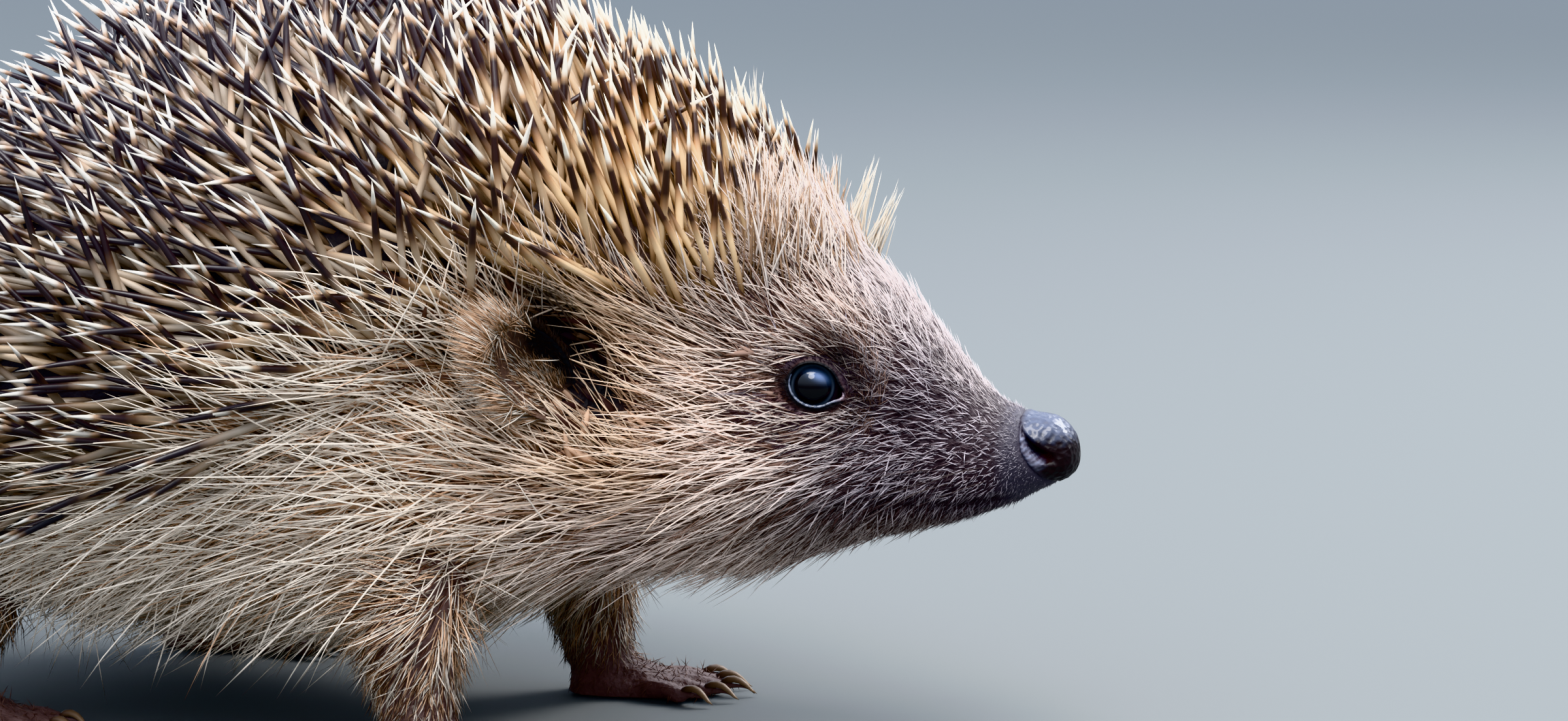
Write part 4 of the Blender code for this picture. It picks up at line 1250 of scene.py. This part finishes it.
def surface_roots(made, count, keep):
    """Random roots on a mesh where keep(points) allows: points and normals."""
    mesh = made.data
    mesh.calc_loop_triangles()
    corners = np.zeros(len(mesh.loop_triangles) * 3, np.int32)
    mesh.loop_triangles.foreach_get("vertices", corners)
    triangles = points_of(made)[corners.reshape(-1, 3)]
    cross = np.cross(triangles[:, 1] - triangles[:, 0], triangles[:, 2] - triangles[:, 0])
    ends = np.cumsum(np.linalg.norm(cross, axis=-1))
    pick = np.minimum(np.searchsorted(ends, random.random(count) * ends[-1]), len(ends) - 1)
    a, b = random.random((2, count))
    a, b = np.where(a + b > 1, 1 - a, a), np.where(a + b > 1, 1 - b, b)
    chosen = triangles[pick]
    points = chosen[:, 0] + a[:, None] * (chosen[:, 1] - chosen[:, 0]) + b[:, None] * (chosen[:, 2] - chosen[:, 0])
    kept = keep(points)
    return points[kept], unit(cross[pick])[kept]


def short_coat(name, slot, material, points, normals, flow, length, thick, tones, patch):
    """Short hairs on a limb, a lid, an ear or the tail, lying along flow."""
    count = len(points)
    flat = unit(flow - normals * np.sum(flow * normals, -1, keepdims=True) + 0.2 * random.standard_normal((count, 3)))
    lift = np.radians(np.clip(17 + 6 * random.standard_normal(count), 4, 40))[:, None]
    first = unit(flat * np.cos(lift) + normals * np.sin(lift))
    last = unit(first - 0.3 * normals + 0.12 * random.standard_normal((count, 3)))
    length = length * varied(count, 0.2, 0.5, 1.6)
    centres = curved(points - normals * 0.12, first, last, length, np.array([0.0, 0.45, 1.0]))
    radii = np.broadcast_to(thick, count)[:, None] * np.array([0.85, 0.9])
    tips = tones * varied((count, 1), 0.22, 0.4, 1.6)
    colours = shaded(tips, 0.6, 0.9, 1.1)
    strands(name, slot, material, 3, 0.85, centres, radii, sideways_to(first, normals), colours, patch)


def limb_patch(points, start):
    """A limb's own strip of the unwrap: height along one way, place round it the other."""
    middle = points[:, :2].mean(0)
    turn = np.arctan2(points[:, 1] - middle[1], points[:, 0] - middle[0]) / (2 * np.pi) + 0.5
    height = (points[:, 2] - points[:, 2].min()) / max(np.ptp(points[:, 2]), 1e-6)
    return np.stack([start + 0.12 * turn, 0.01 + 0.95 * height], 1)


def build_leg_hair(label, side, limb, end, material):
    def keep(points):
        return (points[:, 2] > 1.2) & (random.random(len(points)) < smooth(points[:, 2], 0, 7) + 0.3)

    points, normals = surface_roots(limb, LEG_HAIRS, keep)
    z = points[:, 2]
    high = smooth(z, 9, 20)
    flow = np.stack([-0.35 - 0.75 * high, 0.15 * side * (1 - high), -1.0 + 0.55 * high], 1)
    flow = flow + 0.22 * random.standard_normal(flow.shape)
    length = np.interp(z, (0, 4, 8, 14, 20, 30), (1.2, 1.6, 2.8, 5.0, 8.5, 12.0))
    pick = random.random((len(z), 1))
    tones = np.where(pick < 0.4, BROWN_HAIR, np.where(pick < 0.88, PALE_HAIR, DARK_HAIR)) * (0.7 + 0.3 * high[:, None])
    tones = layered(tones, (smooth(z, 9, 3), srgb(0.45, 0.36, 0.32)))
    thick = np.interp(z, (0, 10, 28), (0.06, 0.08, 0.095))
    patch = limb_patch(points, 0.02 + 0.15 * (2 * (end == "hind") + (side > 0)))
    short_coat(f"hair_{end}leg_{label}", "fur", material, points, normals, flow, length, thick, tones, patch)


def build_tail_hair(material):
    """Short brown hair that hides the tail, lying towards its tip."""
    points, normals = surface_roots(frame["nodes"]["tail"], TAIL_HAIRS, lambda p: p[:, 2] > 2.0)
    points = points - 0.7 * normals
    flow = np.array([-1.0, 0.0, -0.35]) + 0.25 * random.standard_normal(points.shape)
    tones = mixed(len(points), 0.5, BROWN_HAIR * 0.75, UNDERFUR)
    short_coat("hair_tail", "fur", material, points, normals, flow, 3.6, 0.13, tones, limb_patch(points, 0.8))


def build_ear_hair(label, side, ear, material):
    """Short hair on the ear's back, finer on its inner face."""
    up, facing, across, leaf = ear
    rows, columns = leaf.shape[:2]
    count = EAR_HAIRS
    t = random.random(count) ** 0.8
    u = random.uniform(-1, 1, count)
    i, j = t * (rows - 1), (u + 1) / 2 * (columns - 1)
    i0, j0 = np.minimum(i.astype(int), rows - 2), np.minimum(j.astype(int), columns - 2)
    a, b = (i - i0)[:, None], (j - j0)[:, None]
    points = (leaf[i0, j0] * (1 - a) + leaf[i0 + 1, j0] * a) * (1 - b)
    points = points + (leaf[i0, j0 + 1] * (1 - a) + leaf[i0 + 1, j0 + 1] * a) * b
    normals = np.where(random.random(count) < 0.3, -1.0, 1.0)[:, None] * facing + 0.3 * u[:, None] * across
    normals = unit(normals + 0.8 * smooth(t, 0.8, 1.0)[:, None] * up)
    points = points + 0.15 * normals
    flow = up * 0.6 - facing * 0.5 + 0.8 * u[:, None] * across + turned((-0.9, 0.0, 0.2), EAR_S)
    deep = np.minimum(1.6 * ear_shade(points), 1)
    length = (2.4 + 2.2 * np.maximum(np.abs(u), t) ** 3) * (1 - 0.6 * deep)
    tones = mixed(count, 0.3, PALE_HAIR * 0.6, BROWN_HAIR * 0.7)
    # painted shade where the hair lies in the hollow before the ear
    tones = layered(tones, (0.97 * deep, srgb(0.09, 0.07, 0.065)))
    patch = np.stack([0.64 + 0.08 * (side > 0) + 0.07 * (u + 1) / 2, 0.01 + 0.2 * t], 1)
    short_coat(f"hair_ear_{label}", "fur", material, points, normals, flow, length, 0.07, tones, patch)


def build_ear_fringe(label, side, ear, material):
    """Longer hair that stands off the ear's rim. None of it crosses the dark hollow."""
    up, facing, _, leaf = ear
    rows, columns = leaf.shape[:2]
    count = FRINGE_HAIRS
    top = random.random(count) < 0.3
    t = np.where(top, 0.95, random.uniform(0.2, 0.97, count))
    u = np.where(top, random.uniform(-1, 1, count),
                 np.sign(random.random(count) - 0.5) * random.uniform(0.7, 1.0, count))
    i, j = (t * (rows - 1)).astype(int), ((u + 1) / 2 * (columns - 1)).astype(int)
    before = np.where(random.random(count) < 0.65, 0.3, -0.2)[:, None] * facing
    points = leaf[i, j] + before
    first = turned((-0.75, side * 0.40, 0.50), EAR_S) + 0.26 * random.standard_normal((count, 3))
    first = unit(first + 0.4 * unit(points - leaf[rows // 2, columns // 2]) + 0.4 * before)
    last = unit(first + turned((-0.5, 0.0, 0.1), EAR_S) * 0.5 + 0.12 * random.standard_normal((count, 3)))
    length = 4.6 * varied(count, 0.3, 0.4, 1.7)
    centres = curved(points, first, last, length, np.array([0.0, 0.35, 0.7, 1.0]))
    tips = mixed(count, 0.35, PALE_HAIR * 0.8, BROWN_HAIR * 0.9)
    tips = tips * varied((count, 1), 0.15, 0.5, 1.5)
    colours = shaded(tips, 0.6, 0.8, 1.0, 1.05)
    radii = np.tile(0.085 * np.array([0.85, 1.0, 0.65]), (count, 1))
    patch = np.stack([0.66 + 0.08 * (side > 0) + 0.05 * (u + 1) / 2, 0.25 + 0.2 * t], 1)
    clear = ear_shade(centres).max(1) < random.uniform(0.2, 0.75, count)
    strands(f"ear_fringe_{label}", "fur", material, 3, 0.85,
            *picked(clear, centres, radii, sideways_to(first, up), colours, patch))


def build_bristles(skin, material):
    """Bristles that grade from the forehead's hair to the spines."""
    s, _, z = skin.laid_out()
    among = softened(skin.has_spines * 1.0, 8)
    band = bump(among, 0.55, 0.35) * smooth(s, 23.5, 27) * smooth(s, 60, 52) * smooth(z, 50, 56)
    before = smooth(s, 22, 26) * smooth(s, 37, 33) * smooth(z, 52, 57)
    total = BRISTLES
    rows, columns = skin.scatter(total, 0.15 * band + before)
    s, roots, _ = skin.roots(rows, columns)
    flow = np.radians(along_steps(s, (23, 40), (28, 58), (36, 62), (60, 34)) + 13 * random.standard_normal(total))
    lift = along_steps(s, (23, 16), (28, 26), (36, 34), (60, 22)) + 8 * random.standard_normal(total)
    first, normal = directions(skin, rows, columns, flow, np.radians(np.clip(lift, 6, 60)))
    last = unit(first + 0.06 * random.standard_normal((total, 3)))
    length = along_steps(s, (22, 5), (28, 7.5), (34, 10), (60, 10)) * varied(total, 0.17, 0.6, 1.4)
    centres = curved(roots - normal * 0.3, first, last, length, np.array([0.0, 0.3, 0.65, 0.88, 1.0]))
    radii = (0.08 + 0.09 * random.random(total))[:, None] * np.array([0.9, 1.0, 0.8, 0.42])
    tips = mixed(total, 0.6, srgb(0.93, 0.87, 0.82), srgb(0.66, 0.54, 0.44))
    tips = tips * varied((total, 1), 0.14, 0.6, 1.4)
    colours = shaded(tips, 0.55, 0.75, 0.9, 1.1, 1.2)
    across, places = sideways_to(first, normal), skin.unwrap(rows, columns)
    strands("bristles", "spines", material, 3, 1.0, centres, radii, across, colours, places)


def single_strands(name, slot, material, sides, flatness, hairs):
    """Strands made one by one, each as (centres, radii, across, colours, place on the unwrap)."""
    strands(name, slot, material, sides, flatness, *(np.array(part) for part in zip(*hairs)))


def build_brow_tufts(skin, material):
    """Loose tufts above the left brow. The hairs of a tuft lean together towards one point."""
    hairs = []
    steps = np.array([0.0, 0.25, 0.55, 0.8, 1.0])
    for station, angle, lean, size in BROW_TUFTS:
        goal = None
        for _ in range(TUFT_HAIRS):
            s = station + random.normal(0, 0.9)
            column = (angle - random.normal(0, 5)) / 360 * AROUND
            root, place = skin.single_root(s, column)
            if goal is None:
                goal = root + size * unit(turned((lean, 0.25, 1.0), s))
            end = goal + random.normal(0, 0.5, 3)
            length = np.linalg.norm(end - root) * random.uniform(0.55, 1.05)
            centres = root + length * steps[:, None] * unit(end - root)
            radii = random.uniform(0.07, 0.10) * np.array([0.9, 1.0, 0.9, 0.6])
            tone = srgb(0.90, 0.85, 0.78) * random.uniform(0.75, 1.15)
            # painted shade, darkest at the root
            colours = tone[None] * np.array([0.6, 0.85, 1.0, 1.05, 1.1])[:, None]
            hairs.append((centres, radii, turned((0.0, 1.0, 0.0), s), colours, place))
    single_strands("brow_tufts", "fur", material, 3, 0.85, hairs)


def build_whiskers(skin, material):
    """Long stiff hairs from the upper lip, two rows of six on each side."""
    hairs = []
    steps = np.linspace(0, 1, 8)
    taper = np.array([1.0, 0.95, 0.85, 0.72, 0.58, 0.42, 0.26])
    for side in (1, -1):
        for k in range(WHISKER_ROWS * WHISKERS_IN_ROW):
            row, number = divmod(k, WHISKERS_IN_ROW)
            s = 9.5 + 1.55 * number + random.normal(0, 0.3)
            z = 32.4 + 1.5 * row + random.normal(0, 0.25)
            options = (np.arange(-20, 21) + (0 if side > 0 else AROUND // 2)) % AROUND
            heights = [skin.single_root(s, column)[0][2] for column in options]
            root, place = skin.single_root(s, options[np.argmin(np.abs(np.array(heights) - z))])
            forward = -0.55 + random.normal(0, 0.1)
            outward = side * (0.95 + random.normal(0, 0.1))
            heading = turned((forward, outward, 0.05 - 0.18 * (1 - row) + random.normal(0, 0.08)), s)
            end = unit(heading + turned((-0.6, 0.0, -0.35), s) * 0.7)
            length = random.uniform(9, 17)
            centres = root + length * ((steps - steps**2 / 2)[:, None] * heading + (steps**2 / 2)[:, None] * end)
            radii = random.uniform(0.04, 0.055) * taper
            tone = srgb(*random.choice([[0.12, 0.10, 0.10], [0.30, 0.26, 0.25]]))
            hairs.append((centres, radii, turned((0.0, 0.0, 1.0), s), np.tile(tone, (len(steps), 1)), place))
    single_strands("whiskers", "fur", material, 4, 1.0, hairs)


def build_claws(material):
    """A curved claw at the end of each toe, over the one that is part of the foot's skin."""
    claws = []
    steps = np.linspace(0, 1, 7)
    radii = 0.62 * np.array([0.8, 1.0, 0.95, 0.82, 0.62, 0.38])
    colours = steps[:, None] * (CLAW_TIP - CLAW_ROOT) + CLAW_ROOT
    z = 1.75 + 0.55 * np.sin(np.pi * np.minimum(steps * 1.2, 1)) - 1.35 * steps**2
    total = 4 * TOE_COUNT
    for _, side in SIDES:
        for wrist, foot in ((FORE_WRIST, FORE_FOOT), (HIND_WRIST, HIND_FOOT)):
            heading = spine_at(wrist[0])[2] + side * foot["splay"]
            origin = bent(wrist[0], side * wrist[1], 0.0)
            for k in range(TOE_COUNT):
                place = 2 * k / (TOE_COUNT - 1) - 1
                turn = place * TOE_SPREAD / 2
                along = foot["toe"] * (1 - 0.22 * abs(place)) - 0.6 + steps * (foot["claw"] + 0.7)
                x = foot["length"] * 0.74 - 1.4 * place * place + math.cos(turn) * along
                y = place * foot["half_width"] * 0.78 + math.sin(turn) * along
                line = np.stack([
                    origin[0] + x * math.cos(heading) - y * math.sin(heading),
                    origin[1] + x * math.sin(heading) + y * math.cos(heading),
                    np.maximum(z, 0.34),
                ], 1)
                across = (-math.sin(heading + turn), math.cos(heading + turn), 0.0)
                claws.append((line, radii, across, colours, (0.9, 0.1 + 0.8 * len(claws) / (total - 1))))
    single_strands("claws", "bare_skin", material, 8, 0.75, claws)


# ---------------------------------------------------------------- stage


def build_stage():
    """A plain floor that meets an even sky: brightest overhead, as dim as the floor at the horizon."""
    floor = principled("floor", Base_Color=(0.125, 0.13, 0.125, 1.0), Roughness=0.9)[0]
    corners = np.array([(-4000, -4000, 0), (4000, -4000, 0), (4000, 4000, 0), (-4000, 4000, 0)], float)
    made = mesh_object("floor", corners, np.arange(4), np.array([4]), floor)
    world = bpy.data.worlds.new("sky")
    world.use_nodes = True
    nodes, links = world.node_tree.nodes, world.node_tree.links
    place = nodes.new("ShaderNodeTexCoord")
    split = nodes.new("ShaderNodeSeparateXYZ")
    ramp = ramp_of(nodes, SKY)
    links.new(place.outputs["Generated"], split.inputs[0])
    links.new(split.outputs["Z"], ramp.inputs["Fac"])
    links.new(ramp.outputs["Color"], nodes["Background"].inputs["Color"])
    bpy.context.scene.world = world
    bpy.context.scene.view_settings.view_transform = "Khronos PBR Neutral"


def aimed(name, data, place, towards):
    """A light or a camera at a place, looking along a direction."""
    made = linked(name, data)
    made.location = place
    made.rotation_euler = towards.to_track_quat("-Z", "Y").to_euler()
    return made


def add_light(name, place, size, power, colour):
    data = bpy.data.lights.new(name, "AREA")
    data.shape, data.size, data.energy, data.color = "DISK", size, power, colour
    aimed(name, data, place, Vector((0.02, 0.0, 0.05)) - Vector(place))


def build_lights():
    add_light("sky_light", (0.15, -0.30, 1.1), 0.7, 13, (1.0, 0.96, 0.89))
    add_light("front_light", (0.42, -0.72, 0.95), 0.5, 6.5, (1.0, 0.97, 0.95))
    add_light("rim_light", (0.35, 0.80, 0.75), 0.5, 12, (0.97, 0.98, 1.0))


def build_camera():
    """The photograph's view: nearly side on, the head turned a little towards it."""
    azimuth, elevation, distance = math.radians(28), math.radians(7), 0.476
    target = Vector((53.35, -7.03, 46.18)) * MM
    back = Vector(
        (math.sin(azimuth) * math.cos(elevation), -math.cos(azimuth) * math.cos(elevation), math.sin(elevation))
    )
    data = bpy.data.cameras.new("camera")
    data.lens, data.sensor_width = 100, 36
    data.clip_start, data.clip_end = 0.02, 20
    bpy.context.scene.camera = aimed("camera", data, target + back * distance, -back)


# ---------------------------------------------------------------- the animal


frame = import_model()

eyes = [Eye(label, side) for label, side in SIDES]
skin_finish = skin_material()
coarse, soft = hair_material("fur", 0.5), hair_material("underfur", 0.8)
hide = Skin()
pieces = [build_body_skin(hide, skin_finish)]
flesh = [*(node for node in HEAD_NODES + TRUNK_NODES if node != "nose"), "tail"]
lid_margins = []
for eye in eyes:
    label, side = eye.label, eye.side
    lids, margin = build_lids(hide, eye, skin_finish)
    lid_margins.append(margin)
    build_lid_hair(eye, lids, coarse)
    ear_skin, ear = build_ear(label, side, skin_finish)
    pieces += [lids, ear_skin]
    build_ear_hair(label, side, ear, coarse)
    build_ear_fringe(label, side, ear, coarse)
    flesh.append(f"ear_{label}")
    for end in ("fore", "hind"):
        nodes = (f"{end}leg_{label}", f"{end}foot_{label}")
        limb = remade(f"{end}_{label}", nodes, 0.25, skin_finish, PAW_SKIN)
        sink_top(limb, side)
        build_leg_hair(label, side, limb, end, coarse)
        pieces.append(limb)
        flesh += nodes
pieces.append(remade("tail_skin", ("tail",), 0.6, skin_finish, PAW_SKIN * 0.5))
fitted(joined("skin", pieces), "fur", *flesh)

wet = tinted("wet_eye", Roughness=0.035, Specular_IOR_Level=0.42)[0]
for eye, margin in zip(eyes, lid_margins):
    build_eye(eye, wet)
    build_tear_line(eye, wet, margin)
build_nose(nose_material())
build_spines(hide, spine_material())
for layer in FUR_LAYERS:
    grow(hide, soft if layer["name"] == "underfur" else coarse, **layer)
bristle = hair_material("bristle", 0.4)
build_bristles(hide, bristle)
build_brow_tufts(hide, bristle)
build_whiskers(hide, hair_material("whisker", 0.35))
build_claws(hair_material("claw", 0.35))
build_tail_hair(coarse)

build_stage()
build_lights()
build_camera()
